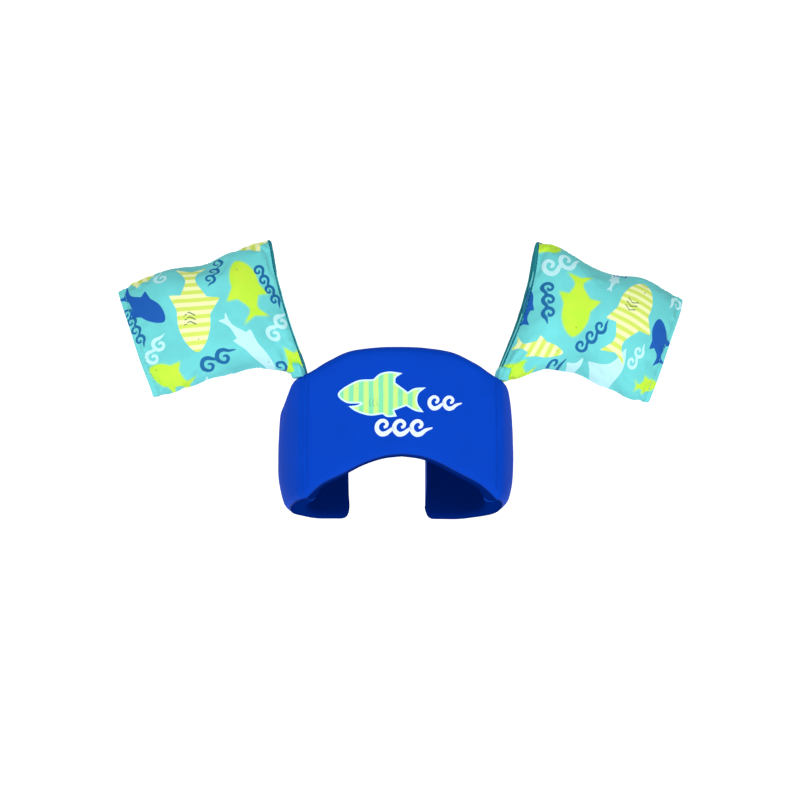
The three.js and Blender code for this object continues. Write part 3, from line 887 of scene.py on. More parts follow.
def printed_knit(colours):
    """The arm floats' cloth: aqua with fish and waves printed into it, with painted shade in its ground and
    in the knit's grooves.
    """
    finish = Finish("printed_knit")
    cloudy = finish.noise(22, 3)
    fine = finish.noise(900, 2)
    blotch = finish.noise(60, 2)
    # The aqua ground's light and dark clouds are partly uneven dye and partly painted shade that stands in
    # for the sleeves' wrinkles.
    aqua = finish.mix(cloudy, shaded(colours.aqua, 0.68), shaded(colours.aqua, 1.16))
    lime = finish.mix(blotch, rgba(colours.lime), rgba(colours.lemon))
    stripes = ((finish.named("band") * (2 * math.pi / 9.0)).sin() * 3 + 0.5).clamp()
    striped = finish.mix(stripes, rgba(colours.cream), rgba(colours.straw))
    colour = aqua
    halo = (0.5 - (finish.named("lime") - 1.2) / 2.4).clamp() * 0.45
    colour = finish.mix(halo, colour, rgba(colours.lime))
    for ink, paint in (
        ("white", rgba(colours.foam_white)),
        ("navy", rgba(colours.wave_navy)),
        ("lime", lime),
        ("royal", rgba(colours.fish_royal)),
        ("stripe", striped),
    ):
        cover = 0.8 if ink == "white" else 0.95
        colour = finish.mix(ink_mask(finish, ink) * cover, colour, paint)
    colour = finish.mix(ink_mask(finish, "mark") * 0.8, colour, rgba(colours.mark))
    ribs = knit_height(finish, 1.15)
    # Painted shade: the grooves between the knit's ribs are darkened towards a dark aqua.
    colour = finish.mix((1 - ribs) * 0.1, colour, shaded(colours.aqua, 0.5))
    finish.set(Base_Color=colour, Roughness=0.58 + fine * 0.15, Sheen_Weight=0.05, Sheen_Roughness=0.4)
    finish.set(Specular_IOR_Level=0.08)
    return finish.bump(ribs * 0.5 + fine * 0.25, 0.3, 0.0002).material


def foam_skin(name, colour):
    """Closed-cell foam with fine pores, darkened as painted shade."""
    finish = Finish(name)
    place = finish.node("ShaderNodeTexCoord", {}, out="Object")
    cells = finish.node("ShaderNodeTexVoronoi", {}, {"Vector": place, "Scale": 1400.0})
    pores = (cells * 1.6).clamp()
    # Painted shade: the pits of the pores, where the bump is lowest, take a darker copy of the colour.
    base = finish.mix(pores, shaded(colour, 0.82), rgba(colour))
    finish.set(Base_Color=base, Roughness=0.7 + pores * 0.1)
    return finish.bump(pores, 0.4, 0.0002).material


def film(name, colour, border=None, stripe=None):
    """Heat-pressed film: satin, slightly crackled, with an edge colour and stripes where it has them."""
    finish = Finish(name)
    speck = finish.noise(700, 3)
    base = finish.mix(speck * 0.35, rgba(colour), shaded(colour, 0.82))
    if stripe:
        along, _ = finish.cloth()
        wobble = finish.noise(60, 2)
        bands = (((along + wobble * 0.12) * (2 * math.pi / 1.04)).sin() * 1.6 + 0.5).clamp()
        base = finish.mix(bands, base, rgba(stripe))
    if border:
        edge = ((1.75 - finish.named("edge")) / 0.35 + 0.5).clamp()
        base = finish.mix(edge, base, rgba(border))
        base = finish.mix(ink_mask(finish, "mark") * 0.75, base, shaded(colour, 0.3))
    finish.set(Base_Color=base, Roughness=0.46 + speck * 0.18, Coat_Weight=0.08, Coat_Roughness=0.4)
    return finish.bump(speck, 0.25, 0.00012).material


def webbing(name, colour):
    """Woven webbing: a fine herringbone with a rounded selvedge, painted lighter on its raised threads and
    darker between them.
    """
    finish = Finish(name)
    along, across = finish.cloth()
    rows = abs((along * 6.5).fract() - 0.5) * 2
    twill = abs((across * 6.0 + along * 3.2).fract() - 0.5) * 2
    weave = (rows * 0.45 + twill * 0.55).clamp()
    fine = finish.noise(1200, 2)
    # Painted highlight and shade: the weave's raised threads take a lit copy of the colour and the gaps
    # between them a shaded copy, with some random tone.
    base = finish.mix(weave * 0.6 + fine * 0.2, shaded(colour, 0.55), shaded(colour, 2.1))
    finish.set(Base_Color=base, Roughness=0.72 + fine * 0.12, Sheen_Weight=0.2, Specular_IOR_Level=0.3)
    return finish.bump(weave, 0.7, 0.0004).material


def moulded(name, colour):
    """Acetal, with a fine spark texture."""
    finish = Finish(name)
    spark = finish.noise(1600, 3)
    smear = finish.noise(35, 3)
    base = finish.mix(smear, shaded(colour, 0.8), shaded(colour, 1.5))
    finish.set(Base_Color=base, Roughness=0.34 + spark * 0.2, Specular_IOR_Level=0.5)
    return finish.bump(spark, 0.18, 0.0001).material


def thread(name, colour):
    """Twisted sewing thread."""
    finish = Finish(name)
    twist = finish.noise(2200, 1)
    base = finish.mix(twist, shaded(colour, 0.7), shaded(colour, 1.3))
    return finish.set(Base_Color=base, Roughness=0.7, Specular_IOR_Level=0.08).material


def studio_white(name, glow):
    """The stage: matt white that stays almost shadowless."""
    finish = Finish(name)
    paper = finish.noise(6, 2)
    base = finish.mix(paper, (0.95, 0.95, 0.95, 1), (0.98, 0.98, 0.98, 1))
    finish.set(Base_Color=base, Roughness=0.9, Emission_Color=(1, 1, 1, 1), Emission_Strength=glow)
    return finish.material


# ---- Settings a user would change ----


def linear(code):
    """A hex colour to the linear values that shaders take."""
    channels = [int(code[i : i + 2], 16) / 255 for i in (1, 3, 5)]
    return tuple(c / 12.92 if c <= 0.04045 else ((c + 0.055) / 1.055) ** 2.4 for c in channels)


def colour(label, words, code):
    return bpy.props.FloatVectorProperty(
        name=label, description=words, default=linear(code), subtype="COLOR", size=3, min=0, max=1
    )


def length(label, words, millimetres, most=50.0):
    return bpy.props.FloatProperty(
        name=label, description=words, default=millimetres * MM, subtype="DISTANCE", unit="LENGTH",
        min=0, max=most * MM,
    )


def number(label, words, value, low=0.0, high=100.0):
    return bpy.props.FloatProperty(name=label, description=words, default=value, min=low, max=high)


class SwimVestColours(bpy.types.PropertyGroup):
    """Colours of the cloths, films, webbing and plastic."""

    royal: colour("Front cover", "Knit on the outside of the chest float", "#0040BC")
    lining: colour("Lining", "Knit against the body", "#001F6E")
    aqua: colour("Arm float ground", "Ground of the printed knit", "#70D8DA")
    binding: colour("Binding", "Overlocked edge of the arm floats", "#23808A")
    lime: colour("Lime fish", "Yellow-green fish in the print", "#AEEA1E")
    lemon: colour("Lime fish, warm", "Warmer blotches of the lime fish", "#D2EC30")
    cream: colour("Pale stripe", "Pale stripe of the striped fish", "#F3F8B4")
    straw: colour("Dark stripe", "Darker stripe of the striped fish", "#D3E455")
    fish_royal: colour("Blue fish", "Blue fish in the print", "#0448AE")
    wave_navy: colour("Blue waves", "Blue waves in the print", "#0A5A9C")
    foam_white: colour("White waves", "White waves and fish in the print", "#C9F3F8")
    mark: colour("Fine marks", "Gills and eyes", "#3E5A50")
    film_mint: colour("Chest fish", "Ground of the fish film", "#74DDA6")
    film_lime: colour("Chest fish stripes", "Stripes of the fish film", "#BFF07C")
    film_edge: colour("Chest fish edge", "Pale edge of the fish film", "#CDF6F8")
    film_white: colour("Chest waves", "Wave film", "#DCEAFF")
    foam: colour("Foam", "Closed-cell foam", "#F2F2EE")
    webbing: colour("Webbing", "Woven webbing and elastic", "#17191E")
    acetal: colour("Buckle", "Moulded buckle", "#121317")


class SwimVestSizes(bpy.types.PropertyGroup):
    """Sizes of the sewing and of the soft shapes."""

    seam_cord: length("Seam cord", "Radius of the seam where cover meets lining", 0.55, 5)
    stitch: length("Stitch", "Length of one stitch", 2.8, 20)
    stitch_gap: length("Stitch gap", "Space between two stitches", 1.5, 20)
    web_thick: length("Webbing thickness", "Thickness of the webbing", 1.8, 5)
    film_lift: length("Film thickness", "How far the pressed films stand proud", 0.45, 3)
    hem: length("Binding width", "Width of the binding round the arm floats' shoulder ends", 1.5, 20)
    lean: length("Wing lean", "How far the wings' lower edges lean towards the body", 8.0, 30)
    cloth_cap: length("Cloth movement", "Furthest the arm floats' cloth may settle", 7.0, 30)
    pressure: number("Fill pressure", "How hard the foam presses the arm floats' cloth", 1.3, 0, 20)
    slack: number("Slack", "Spare cloth in the arm floats, as a share", 0.07, 0, 0.5)


class SwimVestStage(bpy.types.PropertyGroup):
    """Camera, floor and light."""

    lens: number("Lens", "Focal length in millimetres", 72.2, 10, 300)
    distance: length("Distance", "From the camera to the chest float", 1700, 9000)
    azimuth: number("Azimuth", "Camera's turn round the object, in degrees", -6.5, -180, 180)
    elevation: number("Elevation", "Camera's height angle, in degrees", -7.0, -90, 90)
    floor: length("Floor depth", "How far the floor is below the object", 400, 3000)
    key: number("Key light", "Power of the main light in watts", 33.0, 0, 1000)
    fill: number("Fill light", "Power of the fill light and of the back light in watts", 4.0, 0, 1000)
    sky: number("Surround", "Strength of the even light from all round", 0.16, 0, 10)


# ---- Finishes ----

MAKERS = {
    "royal_knit": lambda c: knit("royal_knit", c.royal),
    "lining_knit": lambda c: knit("lining_knit", c.lining, pitch=1.6, sheen=0.0, gloss=0.0),
    "aqua_knit": lambda c: knit("aqua_knit", c.aqua, contrast=0.1),
    "binding": lambda c: knit("binding", c.binding, contrast=0.35),
    "printed_knit": printed_knit,
    "foam": lambda c: foam_skin("foam", c.foam),
    "fish_film": lambda c: film("fish_film", c.film_mint, c.film_edge, c.film_lime),
    "wave_film": lambda c: film("wave_film", c.film_white),
    "webbing": lambda c: webbing("webbing", c.webbing),
    "acetal": lambda c: moulded("acetal", c.acetal),
    "royal_thread": lambda c: thread("royal_thread", shaded(c.royal, 0.8)),
    "aqua_thread": lambda c: thread("aqua_thread", shaded(c.aqua, 0.75)),
    "navy_thread": lambda c: thread("navy_thread", shaded(c.lining, 0.9)),
    "black_thread": lambda c: thread("black_thread", shaded(c.webbing, 1.8)),
}


def finish(name):
    """The material of that name, made when it is first needed."""
    made = bpy.data.materials.get(f"vest_{name}")
    return made or MAKERS[name](bpy.context.scene.swim_vest_colours)


def sizes():
    return bpy.context.scene.swim_vest_sizes


def fitted(obj, body, slot, *nodes):
    """Rides on a body and stands for its nodes, which it hides; slot is not used."""
    if nodes:
        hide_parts(*nodes)
    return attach(obj, body)


def bent(obj, name, slot, *nodes):
    """For a piece next to the fold between chest and wing: hides its nodes and bakes its placement into its
    mesh, on no body; name and slot are not used.
    """
    if nodes:
        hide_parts(*nodes)
    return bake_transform(obj)


def stitched(name, paths, out, material):
    s = sizes()
    return stitches(name, paths, out, finish(material), s.stitch / MM, s.stitch_gap / MM)


# ---- Chest float ----


def drape(rings, pad_side, strength=0.45):
    """Slight unevenness of cloth over foam, with pleats at the foot of one fold."""
    rings = np.array(rings)
    x, y, z = rings[..., 0], rings[..., 1], rings[..., 2]
    wave = np.sin(x / 9.1 + z / 14.7 + pad_side) * np.sin(z / 8.3 - x / 17.0 + 2 * pad_side) + 0.6 * np.sin(
        y / 7.7 + z / 11.9
    )
    middle = rings.mean(1, keepdims=True)
    way = rings - middle
    way /= np.linalg.norm(way, axis=-1, keepdims=True)
    return rings + way * (wave * strength * 0.5)[..., None]


def foot_pleats(rings):
    """Short folds where the cover is gathered at the foot of the left fold."""
    rings = np.array(rings)
    reach = np.hypot(np.abs(rings[..., 0]) - 101, (rings[..., 2] - 14) * 0.8)
    fold = np.sin(rings[..., 0] * 0.9 + rings[..., 2] * 0.55) * 1.3 * np.exp(-((reach / 13) ** 2))
    rings[..., 1] += fold
    return rings


def seam_cords(name, rings, indices):
    """Cords along the joins between cover and lining, as one object."""
    cords = []
    for k, index in enumerate(indices):
        cords.append(tube(f"{name}_{k}", rings[:, index], sizes().seam_cord / MM, finish("navy_thread")))
    return joined(name, cords)


def joined(name, objects):
    """Several new objects as one."""
    work = bmesh.new()
    for obj in objects:
        work.from_mesh(obj.data)
    mesh = bpy.data.meshes.new(name)
    work.to_mesh(mesh)
    work.free()
    mesh.materials.append(objects[0].data.materials[0])
    for obj in objects:
        bpy.data.objects.remove(obj)
    made = bpy.data.objects.new(name, mesh)
    bpy.context.scene.collection.objects.link(made)
    return made


def chest_outward(point):
    way = np.array([point[0] / BOW_R, -1.0, 0.0])
    return way / np.linalg.norm(way)


def build_chest():
    rings, along = panel_rings()
    rings = drape(rings, 0.0)
    pad = pad_object("chest_pad", rings, along, [finish("royal_knit"), finish("lining_knit")])
    fitted(pad, "chest", "royal_knit", "chest_cover", "chest_lining")
    fitted(seam_cords("chest_seams", rings, (LINING_FROM, LINING_TO)), "chest", "lining_knit")
    rows = []
    for side in (-1, 1):
        x = side * (CREASE.x - 4.5)
        low, high = float(line_at(ARCH_LINE, abs(x))) + 7, float(line_at(NECK_LINE, abs(x))) - 7
        z = np.linspace(low, high, 60)
        rows.append(panel_surface(np.full_like(z, x), z, 0.1))
    fitted(stitched("chest_fold_stitches", rows, chest_outward, "royal_thread"), "chest", "royal_knit")
    core_rings, along = panel_rings(1.7, 1.7)
    core = pad_object("chest_core", core_rings, along, [finish("foam")], lining=False)
    fitted(core, "chest", "foam", "chest_foam")


def leaning(rings):
    """Draws the right wing's lower edge in towards the body along its widest part."""
    rings = np.array(rings)
    y, z = rings[..., 1], rings[..., 2]
    low = np.clip(1 - z / 48.0, 0, 1) ** 2
    rings[..., 0] -= sizes().lean / MM * low * smoothstep((y + 82) / 45) * smoothstep((95 - y) / 60)
    return rings


def build_wing(name):
    side = SIDES[name]
    rings, along = wing_rings()
    rings = drape(mirror_points(leaning(rings), side), 1.3 * side)
    if side < 0:
        rings = foot_pleats(rings)
    pad = pad_object(f"{name}_wing_pad", rings, along, [finish("royal_knit"), finish("lining_knit")])
    bent(pad, name, "royal_knit", f"{name}_wing_cover", f"{name}_wing_lining")
    bent(seam_cords(f"{name}_wing_seams", rings, (LINING_FROM, LINING_TO)), name, "lining_knit")
    core_rings, along = wing_rings(1.7, 1.7)
    core_rings = mirror_points(leaning(core_rings), side)
    core = pad_object(f"{name}_wing_core", core_rings, along, [finish("foam")], lining=False)
    bent(core, name, "foam", f"{name}_wing_foam")


# ---- Pressed films ----

CHEST_FISH = [
    (-69, 123), (-50, 136), (-32, 138), (-25, 144), (-15, 146.5), (-1, 145), (-8, 140), (-8.6, 134.5),
    (4.6, 124.7), (12, 129), (24, 130), (16, 123), (15, 113), (21.5, 103.5), (12, 105), (3, 110), (-10, 105),
    (-7, 98.7), (-17, 98), (-22, 101), (-36, 99.4), (-50, 103.5), (-58, 109), (-50, 110), (-45, 112),
    (-61, 113),
]
CHEST_FISH_CORNERS = (2, 5, 7, 8, 10, 13, 15, 16, 17, 19, 22, 24)
FISH_MARKS = [
    [(-35, 109), (-36.4, 113.5), (-35, 118)], [(-31, 108.5), (-32.4, 113), (-31, 117.5)],
    [(-27, 109), (-28.4, 113), (-27, 117)], [(-49.6, 127.6), (-48.4, 128.4)],
]
CHEST_WAVES = {"side": (2, (41, 114), 16), "low": (3, (-3.5, 87), 18.5)}


def film_plate(name, outline, spacing, material, marks=()):
    """A thin closed plate pressed on the chest panel, from its outline in x and z."""
    low, high = outline.min(0), outline.max(0)
    grid = np.stack(np.meshgrid(np.arange(low[0], high[0], spacing), np.arange(low[1], high[1], spacing)), -1)
    grid = grid.reshape(-1, 2)
    grid = grid[polygon_distance(grid, outline) < -spacing * 0.6]
    flat = [Vector(p) for p in np.concatenate([outline, grid])]
    ring = [(i, (i + 1) % len(outline)) for i in range(len(outline))]
    verts, _, faces, *_ = delaunay_2d_cdt(flat, ring, [list(range(len(outline)))], 1, 1e-5)
    flat = np.array([tuple(v) for v in verts])
    count = len(flat)
    top = panel_surface(flat[:, 0], flat[:, 1], sizes().film_lift / MM)
    foot = panel_surface(flat[:, 0], flat[:, 1], -0.25)
    edges = {}
    for face in faces:
        for a, b in zip(face, [*face[1:], face[0]]):
            edges[(a, b)] = True
    rim = [(a, b) for a, b in edges if (b, a) not in edges]
    solid = [list(f) for f in faces] + [[v + count for v in f][::-1] for f in faces]
    solid += [[b, a, a + count, b + count] for a, b in rim]
    made = facing_out(new_object(name, np.concatenate([top, foot]), solid, [finish(material)], smooth=False))
    cloth_uv(made, np.tile(flat[:, 0], 2), np.tile(flat[:, 1], 2))
    set_values(made, "edge", np.tile(-polygon_distance(flat, outline), 2))
    drawn = np.full(count, FAR)
    for mark in marks:
        drawn = np.minimum(drawn, stroke_distance(flat, np.array(mark, float), np.full(len(mark), 0.4)))
    set_values(made, "mark", np.tile(drawn, 2))
    return made


def curl_outlines(count, at, size):
    """Outlines of a run of curls: out along one side of each spine and back along the other."""
    outlines = []
    for spine, half in curl_chain(count):
        along = np.gradient(spine, axis=0)
        along /= np.linalg.norm(along, axis=1, keepdims=True)
        normal = np.stack([-along[:, 1], along[:, 0]], 1)
        outline = np.concatenate([spine + normal * half[:, None], (spine - normal * half[:, None])[::-1]])
        outlines.append(placed(outline, at, 0, size))
    return outlines


def build_films():
    outline = smooth_path(CHEST_FISH, 6, True, CHEST_FISH_CORNERS)
    fish = film_plate("fish_film", outline, 0.9, "fish_film", FISH_MARKS)
    fitted(fish, "chest", "fish_film", "fish_print")
    for place, (count, at, size) in CHEST_WAVES.items():
        plates = [
            film_plate(f"{place}_curl_{k}", outline, 1.1, "wave_film")
            for k, outline in enumerate(curl_outlines(count, at, size))
        ]
        fitted(joined(f"{place}_waves", plates), "chest", "wave_film", f"wave_print_{place}")


# ---- Webbing ----


def wing_offset(x_from, x_to, out, steps=24):
    """A plan path on the right wing's outer face, between two places across the back."""
    run_at = lambda x: float(np.interp(-x, -WING_OUTER[300:, 0], WING_RUN[300:]))
    run = np.linspace(run_at(x_from), run_at(x_to), steps)
    outer, inward = wing_frame(run)
    return outer - inward * np.broadcast_to(out, run.shape)[:, None]


def box_stitches(name, path_at, x0, x1, out):
    """A box with a cross in it, as webbing is sewn down."""
    z0, z1 = WEB_LOW.z + 3, WEB_HIGH.z - 3
    corner = lambda x, z: np.array([*path_at(x), z])
    between = lambda p, q, t: p + (q - p) * t
    line = lambda a, b: np.array(
        [corner(between(a[0], b[0], t), between(a[1], b[1], t)) for t in np.linspace(0, 1, 30)]
    )
    ends = [((x0, z0), (x1, z0)), ((x1, z0), (x1, z1)), ((x1, z1), (x0, z1)), ((x0, z1), (x0, z0)),
            ((x0, z0), (x1, z1)), ((x0, z1), (x1, z0))]
    return stitched(name, [line(a, b) for a, b in ends], out, "black_thread")


def build_webbing(name):
    side = SIDES[name]
    thick = sizes().web_thick / MM
    z0, z1 = WEB_LOW.z, WEB_HIGH.z
    mirrored = lambda path: np.stack([path[:, 0] * side, path[:, 1]], 1)
    path = wing_offset(WEB_HIGH.x - 1, WING_END_X + 0.6, np.linspace(1.9, 1.2, 24))
    sewn = ribbon(f"{name}_sewn_web", mirrored(path), z0, z1, thick, finish("webbing"))
    fitted(sewn, f"{name}_wing", "webbing", f"{name}_sewn_webbing")
    order = np.argsort(path[:, 0])
    on_web = lambda x: (x * side, float(np.interp(x, path[order, 0], path[order, 1])) + thick / 2 + 0.1)
    back = lambda point: np.array([0.35 * side, 1.0, 0.0]) / math.hypot(0.35, 1.0)
    for k, (x0, x1) in enumerate(((62, 50), (95, 83))):
        sewn_down = box_stitches(f"{name}_box_stitches_{k}", on_web, x1, x0, back)
        fitted(sewn_down, f"{name}_wing", "webbing")
    bar_x, web_y = PLUG_HIGH.x - 1.7, (SOCKET_LOW.y + SOCKET_HIGH.y) / 2
    turn = np.linspace(math.pi / 2, 3 * math.pi / 2, 9)
    around = np.stack([bar_x + 2.9 * np.cos(turn), web_y + 2.9 * np.sin(turn)], 1)
    loop = [(WING_END_X + 1, web_y), (38.5, web_y + 0.02), (35, web_y + 0.5), (32, web_y + 2.1), *around]
    loop += [(31.2, web_y - 2.8), (33, web_y - 2.1), (34.6, web_y - 1.95)]
    strap = ribbon(f"{name}_loop_web", mirrored(smooth_path(loop, 4)), z0, z1, thick, finish("webbing"))
    fitted(strap, f"{name}_strap", "webbing", f"{name}_strap_loop")


def build_tail():
    """The loose end of the adjusting strap, folded and sewn at its tip."""
    thick = sizes().web_thick / MM
    along = wing_offset(WING_END_X + 1.5, 84, 3.9, 30)
    path = smooth_path(np.concatenate([[(31.6, 92.9), (36, 92.35), (40.5, 91.8)], along]), 2)
    tail = ribbon("tail_web", path, WEB_LOW.z, WEB_HIGH.z, thick, finish("webbing"))
    fitted(tail, "right_strap", "webbing", "strap_tail")
    tip = wing_offset(73, 84.4, 3.9 + thick + 0.05, 12)
    fold = ribbon("tail_fold", tip, WEB_LOW.z + 0.3, WEB_HIGH.z - 0.3, thick * 0.9, finish("webbing"))
    fitted(fold, "right_strap", "webbing")
    rows = []
    for x in (75, 77):
        at = wing_offset(x, x + 0.01, 3.9 + thick * 1.5 + 0.1, 2)[0]
        rows.append(np.array([[*at, z] for z in np.linspace(WEB_LOW.z + 1, WEB_HIGH.z - 1, 20)]))
    back = lambda point: np.array([0.4, 0.92, 0.0])
    fitted(stitched("tail_stitches", rows, back, "black_thread"), "right_strap", "webbing")


KEEPER_SQUARENESS = 0.22  # 1 would be an ellipse, 0 a rectangle


def build_keeper():
    """Elastic loop that holds the loose end against the strap."""
    low, high = node_box("strap_keeper")
    x = np.linspace(low.x, high.x, 8)
    middle = np.array([(low.y + high.y) / 2, (low.z + high.z) / 2])
    half = np.array([(high.y - low.y) / 2 - 0.6, (high.z - low.z) / 2 - 0.6])
    turn = np.linspace(0, 2 * math.pi, 72, endpoint=False)
    squared = lambda wave: np.sign(wave) * np.abs(wave) ** KEEPER_SQUARENESS
    shape = np.stack([squared(np.cos(turn)), squared(np.sin(turn))], 1)
    rings = []
    swell = 0.6 * (1 - 0.5 * np.abs(np.linspace(-1, 1, 8)) ** 6)
    for way in shape:
        centre, out = middle + way * half, way / np.linalg.norm(way)
        face = [(a, *(centre + out * s)) for a, s in zip(x, swell)]
        face += [(a, *(centre - out * s)) for a, s in zip(x[::-1], swell[::-1])]
        rings.append(face)
    rings = np.array(rings)
    around, across = rings.shape[:2]
    faces = grid_faces(around, across, wrap_rows=True)
    keeper = facing_out(new_object("keeper_loop", rings, faces, [finish("webbing")]))
    cloth_uv(keeper, np.repeat(np.arange(around) * 0.9, across), np.tile(np.arange(across) * 0.4, around))
    fitted(keeper, "keeper", "webbing", "strap_keeper")


def build_buckle():
    """Moulded halves and prongs with rounded edges."""
    bodies = {
        "buckle_socket": "left_strap", "buckle_plug": "right_strap",
        "buckle_prong_upper": "prong_upper", "buckle_prong_lower": "prong_lower",
    }
    for node, body in bodies.items():
        made = bpy.data.objects.new(f"{node}_moulding", frame["nodes"][node].data.copy())
        bpy.context.scene.collection.objects.link(made)
        made.data.materials.clear()
        made.data.materials.append(finish("acetal"))
        work = bmesh.new()
        work.from_mesh(made.data)
        bmesh.ops.remove_doubles(work, verts=work.verts, dist=0.02 * MM)
        bmesh.ops.dissolve_limit(work, angle_limit=0.02, verts=work.verts, edges=work.edges)
        work.to_mesh(made.data)
        work.free()
        rounding = made.modifiers.new("Rounding", "BEVEL")
        rounding.width, rounding.segments, rounding.limit_method = 0.55 * MM, 3, "ANGLE"
        rounding.angle_limit = math.radians(24)
        rounding.harden_normals = False
        apply_modifiers(made)
        made.data.polygons.foreach_set("use_smooth", [True] * len(made.data.polygons))
        fitted(made, body, "acetal", node)


# ---- Arm floats ----

CLOTH_ROWS, CLOTH_COLUMNS, FINER = 38, 60, 4
SETTLE_FRAMES = 20


def steady_noise(points, seed):
    """Smooth repeatable unevenness, about -1 to 1."""
    value = np.zeros(points.shape[:-1])
    generator = np.random.default_rng(seed)
    for _ in range(7):
        way = generator.normal(size=3) / generator.uniform(9, 26)
        value += np.sin(points @ way + generator.uniform(0, 6.28))
    return value / 3.0


def sleeve_rest(u, around):
    """Cloth over its foam before it settles, as (u, v, w)."""
    w, v = sleeve_section(u[:, None], around[None, :])
    return np.stack([np.broadcast_to(u[:, None], v.shape), v, w], -1)


def settle(points, seed):
    """Runs the cloth over its foam and returns how far each point moved."""
    rows, columns = points.shape[:2]
    cloth = new_object(f"settling_{seed}", points, grid_faces(rows, columns), [])
    held = cloth.vertex_groups.new(name="held")
    loose = cloth.vertex_groups.new(name="loose")
    slack = np.clip(0.5 + 0.5 * steady_noise(points, seed + 50), 0, 1).ravel()
    for i in range(rows * columns):
        row, column = divmod(i, columns)
        end = row in (0, rows - 1)
        seam = column in (columns // 4, 3 * columns // 4)
        if end or seam:
            held.add([i], 1.0 if end else 0.35, "REPLACE")
        loose.add([i], float(slack[i]), "REPLACE")
    modifier = cloth.modifiers.new("Cloth", "CLOTH")
    setup = modifier.settings
    setup.quality, setup.mass, setup.air_damping = 6, 0.15, 2.0
    setup.tension_stiffness, setup.compression_stiffness, setup.shear_stiffness = 20, 8, 4
    setup.bending_stiffness = 0.02
    setup.use_pressure, setup.uniform_pressure_force = True, sizes().pressure
    setup.vertex_group_mass, setup.vertex_group_shrink = "held", "loose"
    setup.shrink_min, setup.shrink_max = -0.02, -sizes().slack
    setup.effector_weights.gravity = 0
    modifier.point_cache.frame_end = SETTLE_FRAMES
    scene = bpy.context.scene
    for at in range(1, SETTLE_FRAMES + 1):
        scene.frame_set(at)
    settled = cloth.evaluated_get(bpy.context.evaluated_depsgraph_get()).data
    moved = np.empty(len(settled.vertices) * 3)
    settled.vertices.foreach_get("co", moved)
    bpy.data.objects.remove(cloth)
    scene.frame_set(1)
    return moved.reshape(points.shape) / MM - points


def finer(grid, times, axis, closed):
    """Cubic interpolation of a grid along one axis."""
    grid = np.moveaxis(grid, axis, 0)
    count = len(grid)
    at = np.arange(0, count if closed else count - 1 + 1e-9, 1 / times)
    i = np.floor(at + 1e-9).astype(int)
    t = (at - i).reshape(-1, *([1] * (grid.ndim - 1)))
    pick = lambda k: grid[(i + k) % count] if closed else grid[np.clip(i + k, 0, count - 1)]
    a, b, c, d = pick(-1), pick(0), pick(1), pick(2)
    value = b + 0.5 * t * (c - a + t * (2 * a - 5 * b + 4 * c - d + t * (3 * (b - c) + d - a)))
    return np.moveaxis(value, 0, axis)


def gathers(points, seed):
    """Pleats that run out of the shoulder corner where the tab pulls the cloth."""
    corner = np.array([-ARM_HALF, float(line_at(ARM_FOOT, -ARM_HALF))])
    way = points[..., :2] - corner
    reach = np.hypot(way[..., 0], way[..., 1])
    angle = np.arctan2(way[..., 1], way[..., 0])
    near_corner = np.exp(-reach / 32.0) * (1 - np.exp(-reach / 7.0))
    top = np.array([-ARM_HALF, float(line_at(ARM_TOP, -ARM_HALF))])
    above = np.hypot(points[..., 0] - top[0], points[..., 1] - top[1])
    wing = np.exp(-above / 20.0) * (1 - np.exp(-above / 6.0))
    hang = np.sin(points[..., 0] / 6.5 + seed) * np.exp(-((points[..., 1] + 56) / 9.0) ** 2)
    rise = np.sin(points[..., 0] / 8.0 + 2 * seed) * np.exp(-((points[..., 1] - 66) / 8.0) ** 2)
    pleats = 5.8 * near_corner * np.sin(7.5 * angle + seed) + 3.0 * wing * np.sin(6 * angle)
    return pleats + 0.8 * hang + 0.7 * rise


def hole_rings(u, around):
    """The tube the arm goes through, opening out to the hem at both ends."""
    flare = smoothstep((np.abs(u) - 52) / (ARM_HALF - 52))[:, None]
    w0, v0 = sleeve_section(u[:, None], around[None, :], hole=True)
    top, foot = line_at(ARM_TOP, u)[:, None], line_at(ARM_FOOT, u)[:, None]
    depth = line_at(ARM_DEPTH, u)[:, None]
    v1 = (top + foot) / 2 + np.sin(around)[None, :] * ((top - foot) / 2 - 3.2)
    w1 = -np.cos(around)[None, :] * (depth - 3.2)
    v, w = v0 + (v1 - v0) * flare, w0 + (w1 - w0) * flare
    return np.stack([np.broadcast_to(u[:, None], v.shape), v, w], -1)


def rolled(outer, inner, way, steps=5):
    """The hem's half round from the outer cloth to the inner one."""
    turn = np.linspace(0, math.pi, steps + 2)[1:-1]
    middle, arm = (outer + inner) / 2, (outer - inner) / 2
    reach = np.linalg.norm(arm, axis=-1, keepdims=True)
    out = np.array([way, 0.0, 0.0])
    return np.stack([middle + arm * math.cos(t) + out * reach * math.sin(t) for t in turn])


